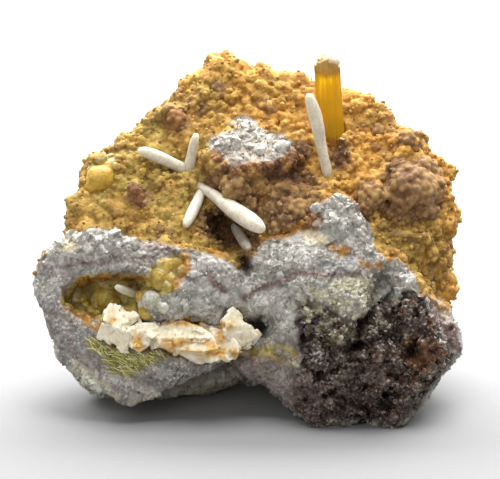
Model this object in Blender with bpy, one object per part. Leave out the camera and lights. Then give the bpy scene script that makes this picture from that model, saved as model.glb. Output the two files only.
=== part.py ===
"""A cabinet specimen: an amber legrandite prism and white smithsonite spindles on limonite rock.

Shapes are drawn in millimetres on a page that leans back by PAGE_LEAN, the way the stone is
looked down on: (right, up, away). placed() turns such a point into the part's own frame, with
X to the right, Y away from the viewer, Z up and the stone standing on Z = 0. At the end
everything is slid sideways until the middle of its box stands on the origin.
"""
import math
import random

import bmesh
import bpy
from mathutils import Matrix, Vector, noise

MM = 0.001
PAGE_LEAN = math.radians(17)
TOE_AWAY = 3.5          # where the front toes meet the floor, along the page's away axis
SOCKET_GAP = 0.25       # room left round each crystal that is rooted in the rock
FORM_VOXEL = 0.45       # grain of the rock's modelled surface
ROCK_TRIANGLES = 6400   # what the rock keeps after thinning
ROCK_SWELL = 0.62       # added before chips and ridges are taken off
DARK_BLOCK_COARSENESS = 1.8
SEED = 17

# The face of limonite rises and recedes from the ledge: away = FACE_START + FACE_SLOPE * (up - FACE_FOOT)
FACE_FOOT = 17.0
FACE_START = 4.5
FACE_SLOPE = 0.5

# Corners of the rock's main masses. Each mass is the hull of its corners.
MASSES = {
    "slab": [
        (-19.6, 21.2, 6.5), (-19.2, 23.8, 7.5), (-17.4, 26.6, 9.0), (-13.0, 30.6, 11.0),
        (-9.4, 33.9, 12.8), (-6.0, 36.9, 14.3), (-3.4, 38.4, 15.0), (0.5, 37.0, 14.5),
        (6.5, 35.9, 13.5), (10.8, 35.7, 13.2), (14.2, 33.6, 12.3), (18.5, 29.4, 11.0),
        (20.9, 26.6, 9.8), (21.4, 22.5, 9.0), (21.0, 18.5, 9.0), (21.0, 14.0, 9.5),
        (-17.0, 19.0, 5.0),
        (0.0, 17.0, 4.5), (14.0, 17.0, 5.0), (-17.0, 23.0, 15.0), (-17.5, 12.0, 15.0),
        (-8.0, 33.5, 19.0), (-3.5, 36.4, 19.5), (9.5, 33.0, 20.0), (17.0, 27.0, 19.0),
        (19.5, 15.0, 19.0), (-6.0, 20.0, 26.0), (7.0, 20.0, 27.0), (14.0, 14.0, 24.0),
    ],
    "left_ledge": [
        (-22.9, 15.8, 6.5), (-21.6, 18.2, 7.0), (-20.4, 19.2, 6.5), (-17.5, 20.4, 4.6),
        (-13.0, 20.0, 3.6), (-8.0, 18.8, 3.0), (-4.0, 18.0, 2.6), (-1.6, 17.2, 2.8),
        (-22.3, 13.4, 6.0), (-21.6, 10.5, 5.5), (-20.1, 7.6, 5.2), (-18.5, 5.8, 5.0),
        (-15.5, 4.2, 4.4), (-12.7, 2.3, 4.0), (-10.5, 3.8, 4.0), (-7.3, 5.5, 4.0),
        (-4.7, 6.4, 4.2), (-1.0, 8.0, 4.4), (-12.0, 11.0, 2.2), (-5.0, 12.0, 2.4),
        (-21.0, 14.0, 13.0), (-18.0, 7.4, 12.0), (-14.0, 5.0, 11.0), (-8.0, 7.0, 12.0),
        (-1.0, 9.0, 13.0), (-1.0, 17.0, 10.0), (-19.0, 19.0, 12.0),
    ],
    "bridge": [
        (-3.0, 17.0, 3.2), (1.5, 17.0, 3.6), (6.5, 19.3, 3.2), (-3.0, 8.0, 4.4),
        (0.4, 5.4, 5.8), (3.0, 3.3, 6.0), (4.8, 1.9, 5.8), (6.6, 10.0, 2.8), (6.6, 2.6, 5.0),
        (-2.0, 8.0, 14.0), (5.0, 5.6, 13.0), (6.0, 18.0, 12.0), (-2.0, 18.0, 10.0),
    ],
    "right_ledge": [
        (0.8, 16.8, 3.2), (4.6, 19.8, 3.4), (8.0, 20.2, 3.2), (12.0, 18.8, 2.6),
        (6.4, 14.0, 1.6), (6.2, 7.5, 1.4), (12.5, 13.5, 0.6), (12.5, 6.5, 0.4),
        (6.0, 2.6, 2.8), (6.9, -0.1, 4.2), (5.7, 0.7, 5.5), (10.6, 0.9, 4.2),
        (13.0, 1.2, 4.2), (6.4, 1.6, 9.0), (12.5, 2.8, 12.0), (12.0, 18.0, 12.0),
        (1.5, 17.0, 10.0),
    ],
    "dark_block": [
        (10.0, 17.0, 2.4), (14.2, 18.0, 2.4), (15.2, 18.7, 3.0), (17.2, 16.2, 3.4),
        (18.4, 14.0, 3.0), (18.9, 11.8, 2.2), (20.0, 8.6, 2.6), (17.8, 5.0, 1.8),
        (12.0, 12.0, 0.9), (12.6, 5.5, 0.9), (11.2, 1.2, 3.6), (13.7, 0.6, 3.6),
        (15.2, -0.1, 4.2), (17.2, 1.7, 4.4), (19.0, 4.2, 5.0), (16.0, 1.4, 8.0),
        (19.0, 5.0, 12.0), (19.5, 14.0, 12.0), (12.0, 3.0, 12.0), (12.0, 17.0, 12.0),
    ],
    "right_rim": [
        (20.6, 12.6, 8.0), (21.3, 11.0, 7.6), (22.3, 8.4, 7.4), (21.2, 7.0, 7.4),
        (19.5, 4.9, 7.4), (18.3, 3.6, 7.4), (17.2, 1.9, 7.6), (20.6, 12.0, 16.0),
        (18.6, 6.4, 16.0), (12.0, 4.6, 14.0), (12.0, 15.0, 12.0),
    ],
    "quartz_knob": [
        (6.9, 23.0, 3.8), (8.6, 23.6, 3.4), (9.6, 24.4, 3.6), (11.1, 23.4, 3.6),
        (12.1, 20.6, 3.2), (12.9, 18.4, 3.0), (9.5, 18.6, 2.6), (6.4, 20.0, 3.0),
        (9.6, 21.6, 2.4), (8.0, 20.0, 8.0), (12.0, 19.0, 8.0), (9.5, 23.4, 6.4),
    ],
    "quartz_shelf": [
        (-4.9, 28.3, 6.8), (-3.2, 30.2, 8.4), (-1.2, 32.6, 9.9), (0.5, 31.6, 9.4),
        (2.5, 30.2, 8.6), (5.3, 29.2, 7.8), (3.6, 27.2, 6.0), (0.0, 26.8, 5.2),
        (-2.4, 27.2, 5.6), (-3.0, 25.6, 8.4), (3.0, 25.6, 8.4), (0.0, 30.0, 13.0),
        (4.6, 28.0, 12.0), (-4.6, 27.0, 11.0),
    ],
    "pale_crust": [
        (-18.7, 6.2, 10.5), (-17.8, 4.3, 11.5), (-16.6, 3.2, 13.0), (-14.8, 3.6, 13.4),
        (-11.2, 2.7, 13.0), (-8.2, 2.7, 13.0), (-6.2, 3.6, 13.2), (-4.2, 4.2, 13.8),
        (-2.8, 4.8, 14.2), (-1.0, 5.3, 15.0), (5.5, 5.7, 15.0), (-18.6, 12.0, 16.0),
        (-14.0, 8.0, 19.0), (-6.0, 8.0, 22.0), (8.0, 8.6, 21.5), (-10.0, 16.0, 23.0),
        (8.0, 16.0, 26.5), (-18.0, 17.0, 12.0), (2.0, 9.0, 12.0),
    ],
    "belly": [
        (6.4, 2.6, 9.0), (12.5, 3.6, 12.0), (17.5, 6.6, 13.0), (7.2, 7.2, 19.0),
        (15.2, 7.4, 19.4), (3.4, 11.0, 12.0), (17.0, 12.0, 12.0), (4.0, 12.0, 20.0),
        (16.5, 12.0, 20.0),
    ],
    "back_foot": [
        (7.0, 6.6, 18.5), (14.0, 6.2, 19.0), (9.5, 6.2, 24.2), (13.0, 6.0, 24.0),
        (16.5, 8.4, 20.0), (8.0, 16.0, 27.0), (15.0, 15.5, 25.2), (19.2, 15.0, 17.5),
        (5.0, 12.0, 18.0),
    ],
}

# Heads and domes of limonite: (right, up, away of the centre) and radius.
DOMES = {
    "right_head": ((16.8, 24.5, 9.2), 3.1),
    "right_head_crown": ((18.4, 26.2, 10.2), 2.1),
    "right_head_chin": ((16.6, 22.0, 8.6), 1.8),
    "right_shoulder": ((12.9, 23.8, 8.2), 1.9),
    "corner_head": ((16.8, 29.5, 11.0), 1.9),
    "corner_bead": ((18.0, 30.0, 12.0), 0.9),
    "edge_head": ((20.3, 27.0, 11.2), 1.2),
    "edge_bead": ((21.0, 21.8, 10.6), 1.3),
    "low_edge_bead": ((20.6, 14.6, 10.4), 1.2),
    "apex_head": ((-2.8, 37.5, 15.6), 1.9),
    "apex_right": ((1.2, 36.2, 15.3), 1.8),
    "apex_far_right": ((4.2, 35.2, 14.9), 1.8),
    "apex_left": ((-4.6, 35.4, 14.2), 1.5),
    "left_dome": ((-7.9, 32.2, 12.2), 1.8),
    "left_bead": ((-5.0, 33.6, 13.1), 1.3),
    "brown_stub": ((-11.9, 24.2, 7.9), 1.1),
    "edge_blob": ((-15.6, 26.8, 10.0), 1.9),
    "brow": ((-1.2, 24.2, 7.9), 2.6),
    "brow_right": ((3.0, 24.6, 8.4), 2.4),
    "cheek": ((3.8, 21.2, 7.2), 2.4),
    "far_cheek": ((6.2, 23.4, 8.4), 2.1),
    "legrandite_root": ((9.8, 29.0, 10.8), 1.5),
    "spindle_root": ((8.5, 24.4, 8.4), 1.5),
    "pair_root": ((-6.3, 25.6, 9.6), 1.3),
}
# Domes that line the hollows, added once these are pressed in.
LINING = {
    "vug_floor": ((-15.3, 13.4, 8.2), 1.6),
    "vug_bead": ((-16.6, 12.2, 7.0), 0.8),
    "vug_back": ((-12.6, 15.0, 8.4), 1.5),
    "grey_lobe": ((-9.9, 13.4, 4.5), 1.7),
    "olive_lobe": ((-9.0, 16.3, 4.0), 1.4),
    "olive_chin": ((-7.9, 15.0, 3.7), 1.0),
}
SMALL_DOMES = 70
SMALL_DOME_RADII = (0.8, 1.5)
SMALL_DOME_RISE = 0.55

# Hollows are pressed into the front: centre (right, up), half width, half height, turn and depth.
HOLLOWS = {
    "vug": ((-14.2, 13.9), 5.5, 2.4, 4, 5.0),
    "blade_seam": ((-7.3, 9.7), 9.2, 2.3, -8, 2.2),
    "seam_hole": ((1.8, 10.6), 1.4, 1.0, 0, 3.4),
    "pocket": ((-2.2, 20.2), 3.6, 2.3, -28, 6.0),
    "notch": ((-0.5, 17.6), 0.9, 1.8, 0, 3.0),
    "crevice_top": ((13.5, 14.4), 0.9, 2.7, -26, 2.8),
    "crevice_low": ((11.2, 9.4), 0.9, 3.0, -24, 2.4),
    "toe_crack": ((14.4, 3.4), 0.7, 1.6, 8, 2.0),
    "rust_pit": ((15.9, 8.7), 1.8, 1.4, 20, 1.1),
}
FRONT_AWAY = 12.5       # hollows move only what lies nearer than this

# Smithsonite spindles: (right, up, away) of the root and of the tip, radius at the root, the
# widest radius and where along the spindle it lies.
SPINDLES = {
    "smithsonite_pair": [
        ((-6.0, 26.6, 10.0), (-12.0, 29.1, 8.0), 0.78, 0.80, 0.72),
        ((-6.4, 26.4, 10.0), (-5.4, 30.8, 8.4), 0.74, 0.70, 0.45),
    ],
    "smithsonite_fork": [
        ((-6.1, 26.0, 9.2), (1.5, 20.7, 2.3), 0.55, 1.22, 0.76),
        ((-4.9, 25.4, 9.0), (-6.8, 21.0, 4.8), 0.62, 0.82, 0.60),
    ],
    "smithsonite_tall": [((8.6, 24.8, 9.0), (6.0, 34.8, 6.4), 0.72, 0.98, 0.66)],
    "smithsonite_pocket": [((-1.7, 21.2, 11.6), (-0.1, 18.7, 6.8), 0.50, 0.62, 0.60)],
    "smithsonite_vug": [((-10.6, 13.4, 7.6), (-14.1, 14.8, 3.4), 0.40, 0.50, 0.60)],
}
SPINDLE_STEPS = (0.0, 0.16, 0.32, 0.48, 0.62, 0.74, 0.85, 0.93, 0.98)    # its rings, from root to tip
SPINDLE_SIDES = 9

# The amber prism: its axis, half widths and the heights of its stepped end.
LEGRANDITE_ROOT = (9.5, 28.2, 11.2)
LEGRANDITE_TOP = (8.15, 38.3, 8.4)
LEGRANDITE_HALF_WIDTH = 1.34
LEGRANDITE_HALF_DEPTH = 1.0
PRISM_SIDES = 14
PRISM_GROOVE = 0.90     # width left at a groove
PRISM_SHOULDER = 0.93   # where the stepped end starts, along the axis
PRISM_STEPS = (0.55, 0.95, 0.35, 0.75)
PRISM_TOP_WIDTH = 0.80
PRISM_TOP_RISE = 0.25
CAP_CENTRE = (8.95, 39.05, 8.55)
CAP_RADIUS = 0.72

# White blades in the seam: the corners of each plate (right, up), how near its middle comes,
# its back, and how its front falls away to the right and upwards.
BLADES = [
    ([(-14.6, 13.1), (-15.2, 12.0), (-15.1, 10.7), (-13.3, 10.5), (-11.2, 11.7)], 2.5, 5.2, (0.30, 0.45)),
    ([(-15.3, 10.9), (-15.9, 9.5), (-13.8, 8.7), (-12.7, 8.1), (-12.3, 9.4), (-13.3, 10.7)],
     2.1, 5.0, (-0.35, -0.30)),
    ([(-12.8, 10.2), (-11.4, 11.4), (-10.0, 10.9), (-9.6, 9.5), (-10.5, 8.4), (-12.4, 8.4)],
     2.2, 5.2, (0.55, 0.25)),
    ([(-10.2, 10.7), (-7.9, 11.3), (-5.8, 10.8), (-4.0, 9.5), (-4.7, 8.9), (-9.9, 9.3)],
     2.5, 5.4, (-0.10, 0.60)),
    ([(-9.8, 9.6), (-3.8, 9.6), (-3.6, 7.9), (-7.8, 7.7), (-9.4, 8.6)], 2.1, 5.2, (0.12, -0.45)),
    ([(-7.8, 8.2), (-5.4, 6.7), (-1.6, 7.2), (-1.0, 8.5), (-5.2, 8.8)], 2.5, 5.4, (-0.16, 0.50)),
    ([(-1.8, 12.7), (-3.0, 11.2), (-2.8, 10.0), (-0.7, 10.2), (-0.9, 11.7)], 2.5, 5.4, (0.65, 0.10)),
    ([(-2.6, 11.2), (-0.4, 10.9), (1.4, 9.8), (0.3, 9.0), (-1.7, 8.4), (-2.8, 9.8)],
     2.2, 5.6, (0.30, -0.40)),
    ([(-4.2, 10.5), (-2.4, 10.7), (-1.2, 8.0), (-3.8, 7.7)], 2.4, 5.4, (-0.50, 0.20)),
    ([(-14.7, 11.4), (-14.8, 9.6), (-9.0, 8.2), (-2.0, 7.9), (0.6, 9.4), (-1.6, 10.8), (-9.0, 10.8)],
     3.7, 5.8, (0.0, 0.0)),
]
BLADE_TAPER = 0.82      # a plate's back against its front

FLOOR_BOX = 80.0        # side of the block that cuts the feet flat, and how far back its middle lies
FLOOR_BOX_BACK = 15.0

COLOURS = {
    "rock": ((0.42, 0.30, 0.15), 0.85),
    "smithsonite": ((0.86, 0.83, 0.76), 0.35),
    "legrandite": ((0.80, 0.45, 0.03), 0.12),
    "blades": ((0.88, 0.84, 0.76), 0.45),
}


def clear_scene():
    for obj in list(bpy.data.objects):
        bpy.data.objects.remove(obj)


def placed(right, up, away):
    """A point of the leaning page, in millimetres, as a point of the part's frame in metres."""
    lean_sine, lean_cosine = math.sin(PAGE_LEAN), math.cos(PAGE_LEAN)
    deep = away - TOE_AWAY
    return Vector((right, up * lean_sine + away * lean_cosine, up * lean_cosine - deep * lean_sine)) * MM


def on_page(point):
    """The reverse of placed()."""
    right, y, z = point / MM
    lean_sine, lean_cosine = math.sin(PAGE_LEAN), math.cos(PAGE_LEAN)
    up = y * lean_sine + (z - TOE_AWAY * lean_sine) * lean_cosine
    away = y * lean_cosine - (z - TOE_AWAY * lean_sine) * lean_sine
    return right, up, away


def face_away(up):
    return FACE_START + FACE_SLOPE * (up - FACE_FOOT)


def material(name):
    colour, roughness = COLOURS[name]
    made = bpy.data.materials.get(name) or bpy.data.materials.new(name)
    made.use_nodes = True
    shader = made.node_tree.nodes["Principled BSDF"]
    shader.inputs["Base Color"].default_value = (*colour, 1)
    shader.inputs["Roughness"].default_value = roughness
    return made


def new_object(name, mesh, colour):
    obj = bpy.data.objects.new(name, mesh)
    bpy.context.scene.collection.objects.link(obj)
    obj.data.materials.clear()
    obj.data.materials.append(material(colour))
    return obj


def mesh_from(bm, name):
    bmesh.ops.recalc_face_normals(bm, faces=bm.faces[:])
    mesh = bpy.data.meshes.new(name)
    bm.to_mesh(mesh)
    bm.free()
    return mesh


def hull_mesh(points, name):
    """The convex hull of points that are already in the part's frame."""
    bm = bmesh.new()
    for point in points:
        bm.verts.new(point)
    found = bmesh.ops.convex_hull(bm, input=bm.verts[:])
    inner = [v for v in found["geom_interior"] if isinstance(v, bmesh.types.BMVert)]
    bmesh.ops.delete(bm, geom=inner, context="VERTS")
    return mesh_from(bm, name)


def add_mesh(bm, mesh):
    bm.from_mesh(mesh)
    bpy.data.meshes.remove(mesh)


def add_ball(bm, centre, radius):
    bmesh.ops.create_icosphere(
        bm, subdivisions=2, radius=radius * MM, matrix=Matrix.Translation(placed(*centre)))


def evaluated_mesh(obj):
    graph = bpy.context.evaluated_depsgraph_get()
    return bpy.data.meshes.new_from_object(obj.evaluated_get(graph))


def remeshed(mesh, voxel):
    """A copy of the mesh with its overlapping bodies run together."""
    helper = new_object("remesh_helper", mesh, "rock")
    modifier = helper.modifiers.new("run_together", "REMESH")
    modifier.mode = "VOXEL"
    modifier.voxel_size = voxel * MM
    made = evaluated_mesh(helper)
    bpy.data.objects.remove(helper)
    return made


def scatter_small_domes(bm, chance):
    """Small domes of limonite all over the sloping face."""
    for _ in range(SMALL_DOMES):
        up = chance.uniform(18.5, 37.0)
        half = 18.5 - max(0.0, up - 24.0) * 1.15
        right = chance.uniform(-half, half) + 1.5
        radius = chance.uniform(*SMALL_DOME_RADII)
        add_ball(bm, (right, up, face_away(up) + radius - SMALL_DOME_RISE), radius)


def hollow_depth(right, up, hollow):
    """How deep a hollow is pressed at a point of the page: a bowl with steep sides."""
    (centre_right, centre_up), half_width, half_height, turn, depth = hollow
    angle = math.radians(turn)
    along = (right - centre_right) * math.cos(angle) + (up - centre_up) * math.sin(angle)
    across = (up - centre_up) * math.cos(angle) - (right - centre_right) * math.sin(angle)
    edge = 1 + 0.18 * noise.noise(Vector((right, up, depth)) * 0.9)
    reach = math.hypot(along / half_width, across / half_height) / edge
    return depth * math.sqrt(1 - reach * reach) if reach < 1 else 0.0


def roughness_of(right, up, away):
    """How far the broken rock stands out of its plain form, in millimetres."""
    spot = Vector((right, up, away))
    coarse = DARK_BLOCK_COARSENESS if right > 11 and up < 17 and away < 7 else 1.0
    chips = abs(noise.noise(spot * 0.22 + Vector((3, 1, 7)))) * 1.1
    ridges = abs(noise.noise(spot * 0.55)) * 0.7 * coarse
    grit = noise.noise(spot * 1.3 + Vector((9, 2, 4))) * 0.22 * coarse
    return ROCK_SWELL - chips - ridges + grit


def weather(mesh):
    """Presses in the hollows and breaks up the plain faces."""
    push = (placed(0, 0, 1) - placed(0, 0, 0)).normalized()
    bm = bmesh.new()
    bm.from_mesh(mesh)
    bm.normal_update()
    moves = []
    for vertex in bm.verts:
        right, up, away = on_page(vertex.co)
        move = vertex.normal * roughness_of(right, up, away) * MM
        if away < FRONT_AWAY and vertex.normal.dot(push) < 0.35:
            depth = max(hollow_depth(right, up, hollow) for hollow in HOLLOWS.values())
            move += push * depth * MM
        moves.append(move)
    for vertex, move in zip(bm.verts, moves):
        vertex.co += move
    bm.to_mesh(mesh)
    bm.free()


def spindle_radius(along, root_radius, wide_radius, wide_at):
    if along < wide_at:
        return root_radius + (wide_radius - root_radius) * math.sin(math.pi / 2 * along / wide_at)
    fall = (along - wide_at) / (1 - wide_at)
    return wide_radius * math.sqrt(1 - fall ** 3)


def spindle_mesh(shape, grow, name):
    """Rings from a narrow root through the widest place to a blunt, rounded tip."""
    root, tip, *profile = shape
    start, end = placed(*root), placed(*tip)
    axis = (end - start).normalized()
    start -= axis * grow * MM
    end += axis * grow * MM
    turn = axis.to_track_quat("Z", "Y")
    bm = bmesh.new()
    loops = []
    for along in SPINDLE_STEPS:
        centre = start.lerp(end, along)
        loop = []
        for side in range(SPINDLE_SIDES):
            angle = 2 * math.pi * side / SPINDLE_SIDES
            spoke = turn @ Vector((math.cos(angle), math.sin(angle), 0))
            uneven = 1 + 0.07 * noise.noise((centre + spoke * MM) / MM * 0.8)
            radius = spindle_radius(along, *profile) * uneven + grow
            loop.append(bm.verts.new(centre + spoke * radius * MM))
        loops.append(loop)
    close_loops(bm, loops, start, end)
    return mesh_from(bm, name)


def close_loops(bm, loops, start, end):
    """Skins the rings and closes both ends on a pole."""
    sides = len(loops[0])
    for low, high in zip(loops, loops[1:]):
        for side in range(sides):
            following = (side + 1) % sides
            bm.faces.new((low[side], low[following], high[following], high[side]))
    for loop, pole in ((loops[0], start), (loops[-1], end)):
        centre = bm.verts.new(pole)
        for side in range(sides):
            bm.faces.new((loop[side], centre, loop[(side + 1) % sides]))


def prism_mesh(grow, name):
    """A striated prism: grooves run down its sides, and its end is stepped."""
    start, end = placed(*LEGRANDITE_ROOT), placed(*LEGRANDITE_TOP)
    axis = (end - start).normalized()
    turn = axis.to_track_quat("Z", "Y")
    buried = -grow * MM / (end - start).length
    bm = bmesh.new()
    rings = []
    for along, width in ((buried, 0.86), (0.25, 0.97), (PRISM_SHOULDER, 1.0)):
        ring = []
        for side in range(PRISM_SIDES):
            angle = 2 * math.pi * (side + 0.5) / PRISM_SIDES
            groove = PRISM_GROOVE if side % 4 == 1 and not grow else 1.0
            spoke = turn @ Vector((
                math.cos(angle) * (LEGRANDITE_HALF_WIDTH * groove * width + grow),
                math.sin(angle) * (LEGRANDITE_HALF_DEPTH * groove * width + grow), 0))
            ring.append(bm.verts.new(start.lerp(end, along) + spoke * MM))
        rings.append(ring)
    middle = start.lerp(end, PRISM_SHOULDER)
    top = []
    for side, lower in enumerate(rings[-1]):
        rise = PRISM_STEPS[side // 2 % len(PRISM_STEPS)] + grow
        top.append(bm.verts.new(middle + (lower.co - middle) * PRISM_TOP_WIDTH + axis * rise * MM))
    rings.append(top)
    close_loops(bm, rings, start - axis * grow * MM, end + axis * (PRISM_TOP_RISE + grow) * MM)
    return mesh_from(bm, name)


def blade_points(blade, grow):
    corners, near, far, (fall_right, fall_up) = blade
    centre = sum((Vector(corner) for corner in corners), Vector((0, 0))) / len(corners)
    points = []
    for corner in corners:
        arm = Vector(corner) - centre
        front = centre + arm * (1 + grow / arm.length)
        back = centre + arm * (BLADE_TAPER + grow / arm.length)
        points.append(placed(front.x, front.y, near + arm.x * fall_right + arm.y * fall_up - grow))
        points.append(placed(back.x, back.y, far + grow))
    return points


def hide_helper(obj):
    obj.hide_render = True
    obj.display_type = "WIRE"


def helper_collection(name, meshes):
    """Hidden objects that a Boolean takes together."""
    collection = bpy.data.collections.new(name)
    bpy.context.scene.collection.children.link(collection)
    for index, mesh in enumerate(meshes):
        obj = bpy.data.objects.new(f"{name}_{index}", mesh)
        collection.objects.link(obj)
        hide_helper(obj)
    return collection


def boolean(obj, name, operation, collection):
    modifier = obj.modifiers.new(name, "BOOLEAN")
    modifier.operation = operation
    modifier.solver = "EXACT"
    modifier.operand_type = "COLLECTION"
    modifier.collection = collection


def make_fused(name, meshes, colour):
    """Crystals grown together: the first mesh with the others joined to it."""
    obj = new_object(name, meshes[0], colour)
    if len(meshes) > 1:
        boolean(obj, "grown_together", "UNION", helper_collection(name + "_more", meshes[1:]))
    return obj


def make_spindles():
    for name, shapes in SPINDLES.items():
        make_fused(name, [spindle_mesh(shape, 0.0, name) for shape in shapes], "smithsonite")


def make_legrandite():
    new_object("legrandite_prism", prism_mesh(0.0, "legrandite_prism"), "legrandite")


def make_cap():
    bm = bmesh.new()
    add_ball(bm, CAP_CENTRE, CAP_RADIUS)
    for vertex in bm.verts:
        vertex.co += vertex.normal * noise.noise(vertex.co / MM * 1.4) * 0.15 * MM
    cap = new_object("smithsonite_cap", mesh_from(bm, "smithsonite_cap"), "smithsonite")
    boolean(cap, "seat", "DIFFERENCE", helper_collection("cap_seat", [prism_mesh(SOCKET_GAP, "cap_seat")]))


def make_blades():
    make_fused("white_blades", [hull_mesh(blade_points(blade, 0.0), "blade") for blade in BLADES], "blades")


def crystal_sockets():
    """Every crystal's root, grown by the gap that it keeps to the rock."""
    meshes = [spindle_mesh(shape, SOCKET_GAP, "socket") for shapes in SPINDLES.values() for shape in shapes]
    meshes.append(prism_mesh(SOCKET_GAP, "socket"))
    meshes.extend(hull_mesh(blade_points(blade, SOCKET_GAP), "socket") for blade in BLADES)
    return meshes


def floor_box():
    bm = bmesh.new()
    middle = Vector((0, FLOOR_BOX_BACK, -FLOOR_BOX / 2)) * MM
    bmesh.ops.create_cube(bm, size=FLOOR_BOX * MM, matrix=Matrix.Translation(middle))
    return mesh_from(bm, "floor")


def make_rock():
    bm = bmesh.new()
    for name, corners in MASSES.items():
        add_mesh(bm, hull_mesh([placed(*corner) for corner in corners], name))
    for centre, radius in DOMES.values():
        add_ball(bm, centre, radius)
    scatter_small_domes(bm, random.Random(SEED))
    form = remeshed(mesh_from(bm, "rock_form"), FORM_VOXEL)
    weather(form)
    bm = bmesh.new()
    add_mesh(bm, form)
    for centre, radius in LINING.values():
        add_ball(bm, centre, radius)
    form = remeshed(mesh_from(bm, "rock_form"), FORM_VOXEL)
    rock = new_object("limonite_rock", form, "rock")
    thin = rock.modifiers.new("thin", "DECIMATE")
    thin.ratio = ROCK_TRIANGLES / sum(len(face.vertices) - 2 for face in form.polygons)
    boolean(rock, "sockets", "DIFFERENCE", helper_collection("sockets", crystal_sockets()))
    boolean(rock, "feet", "DIFFERENCE", helper_collection("floor", [floor_box()]))


def centre_on_floor():
    """Slides every mesh sideways, until the middle of the whole box stands on the origin."""
    graph = bpy.context.evaluated_depsgraph_get()
    corners = [Vector(corner) for obj in bpy.context.scene.objects if not obj.hide_render
               for corner in obj.evaluated_get(graph).bound_box]
    middle_x = (min(corner.x for corner in corners) + max(corner.x for corner in corners)) / 2
    middle_y = (min(corner.y for corner in corners) + max(corner.y for corner in corners)) / 2
    for obj in bpy.context.scene.objects:
        obj.data.transform(Matrix.Translation((-middle_x, -middle_y, 0)))
    print(f"slid by {-middle_x / MM:.3f} {-middle_y / MM:.3f} mm")


clear_scene()
make_rock()
make_spindles()
make_legrandite()
make_cap()
make_blades()
centre_on_floor()
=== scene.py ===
import math
import random

import bpy
import numpy as np
from mathutils import Matrix, Vector, noise
from mathutils.bvhtree import BVHTree
from mathutils.kdtree import KDTree


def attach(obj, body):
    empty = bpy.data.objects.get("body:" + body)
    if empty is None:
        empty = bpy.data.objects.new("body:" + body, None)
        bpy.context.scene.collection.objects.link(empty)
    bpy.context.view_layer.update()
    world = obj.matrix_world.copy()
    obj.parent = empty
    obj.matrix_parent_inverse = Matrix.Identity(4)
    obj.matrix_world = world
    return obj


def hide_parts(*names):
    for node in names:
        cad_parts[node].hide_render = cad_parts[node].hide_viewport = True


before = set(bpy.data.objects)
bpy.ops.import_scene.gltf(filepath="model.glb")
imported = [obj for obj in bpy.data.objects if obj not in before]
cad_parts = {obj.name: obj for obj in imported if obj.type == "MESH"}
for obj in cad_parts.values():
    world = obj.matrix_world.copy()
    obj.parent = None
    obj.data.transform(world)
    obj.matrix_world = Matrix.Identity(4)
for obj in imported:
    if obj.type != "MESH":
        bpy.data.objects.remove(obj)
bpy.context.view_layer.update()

mm = 0.001

# Most places are read off a page that leans back with the view: millimetres to the right, up and away.
page = {
    "lean": math.radians(17),
    "toeAway": 3.5,             # where the front toes touch the floor
    "slide": (0.279, -17.001),  # from the page's own origin to the frame's
}
leanSine, leanCosine = math.sin(page["lean"]), math.cos(page["lean"])
awayAxis = Vector((0, leanCosine, -leanSine))
chance = random.Random(17)
dice = np.random.default_rng(17)


def toFrame(right, up, away):
    y = up * leanSine + away * leanCosine + page["slide"][1]
    z = up * leanCosine - (away - page["toeAway"]) * leanSine
    return Vector((right + page["slide"][0], y, z)) * mm


def toPage(points):
    # an array of points in metres, as their right, up and away
    x, y, z = (points / mm).T
    y = y - page["slide"][1]
    z = z - page["toeAway"] * leanSine
    return x - page["slide"][0], y * leanSine + z * leanCosine, y * leanCosine - z * leanSine


def deselectAll():
    if bpy.context.object and bpy.context.object.mode != "OBJECT":
        bpy.ops.object.mode_set(mode="OBJECT")
    bpy.ops.object.select_all(action="DESELECT")


def takeUp(piece):
    deselectAll()
    bpy.context.view_layer.objects.active = piece
    piece.select_set(True)


def applyModifier(piece, kind, name, **settings):
    takeUp(piece)
    modifier = piece.modifiers.new(name, kind)
    for key, value in settings.items():
        setattr(modifier, key, value)
    bpy.ops.object.modifier_apply(modifier=name)


def meshPiece(name, points, faces):
    mesh = bpy.data.meshes.new(name)
    mesh.from_pydata([tuple(p) for p in points], [], [tuple(f) for f in faces])
    mesh.update()
    piece = bpy.data.objects.new(name, mesh)
    bpy.context.scene.collection.objects.link(piece)
    return piece


def vectorsOf(piece, kind):
    values = np.empty(len(piece.data.vertices) * 3, np.float32)
    piece.data.vertices.foreach_get(kind, values)
    return values.reshape(-1, 3).astype(float)


def pointsOf(piece):
    return vectorsOf(piece, "co")


def normalsOf(piece):
    return vectorsOf(piece, "normal")


def setPoints(piece, points):
    piece.data.vertices.foreach_set("co", points.astype(np.float32).ravel())
    piece.data.update()


def joinAll(name, parts):
    takeUp(parts[0])
    for part in parts:
        part.select_set(True)
    if len(parts) > 1:
        bpy.ops.object.join()
    joined = bpy.context.object
    joined.name = joined.data.name = name
    return joined


def finishPiece(piece, slotName, material, *nodes, smooth=True):
    piece.data.materials.clear()
    piece.data.materials.append(material)
    takeUp(piece)
    if smooth:
        bpy.ops.object.shade_smooth_by_angle(angle=math.radians(65))
    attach(piece, "root")
    if nodes:
        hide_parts(*nodes)


def noiseAt(points, grain, seed):
    # smooth noise from -1 to 1 at every point, for patches about as wide as the grain in millimetres
    offset = Vector((seed * 3.7, seed * 1.3, -seed * 2.1))
    scale = 1 / (grain * mm)
    return np.array([noise.noise(Vector(p) * scale + offset) for p in points])


def softStep(value, low, high):
    t = np.clip((value - low) / (high - low), 0, 1)
    return t * t * (3 - 2 * t)


def roughen(piece, *layers):
    # pushes the skin in and out along its normals: each layer is a height, a grain and a seed
    points, normals = pointsOf(piece), normalsOf(piece)
    bumps = sum(height * noiseAt(points, grain, seed) for height, grain, seed in layers)
    setPoints(piece, points + normals * (bumps * mm)[:, None])


# Materials: each is a stack of noise and colour mixes on Object coordinates.

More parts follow.
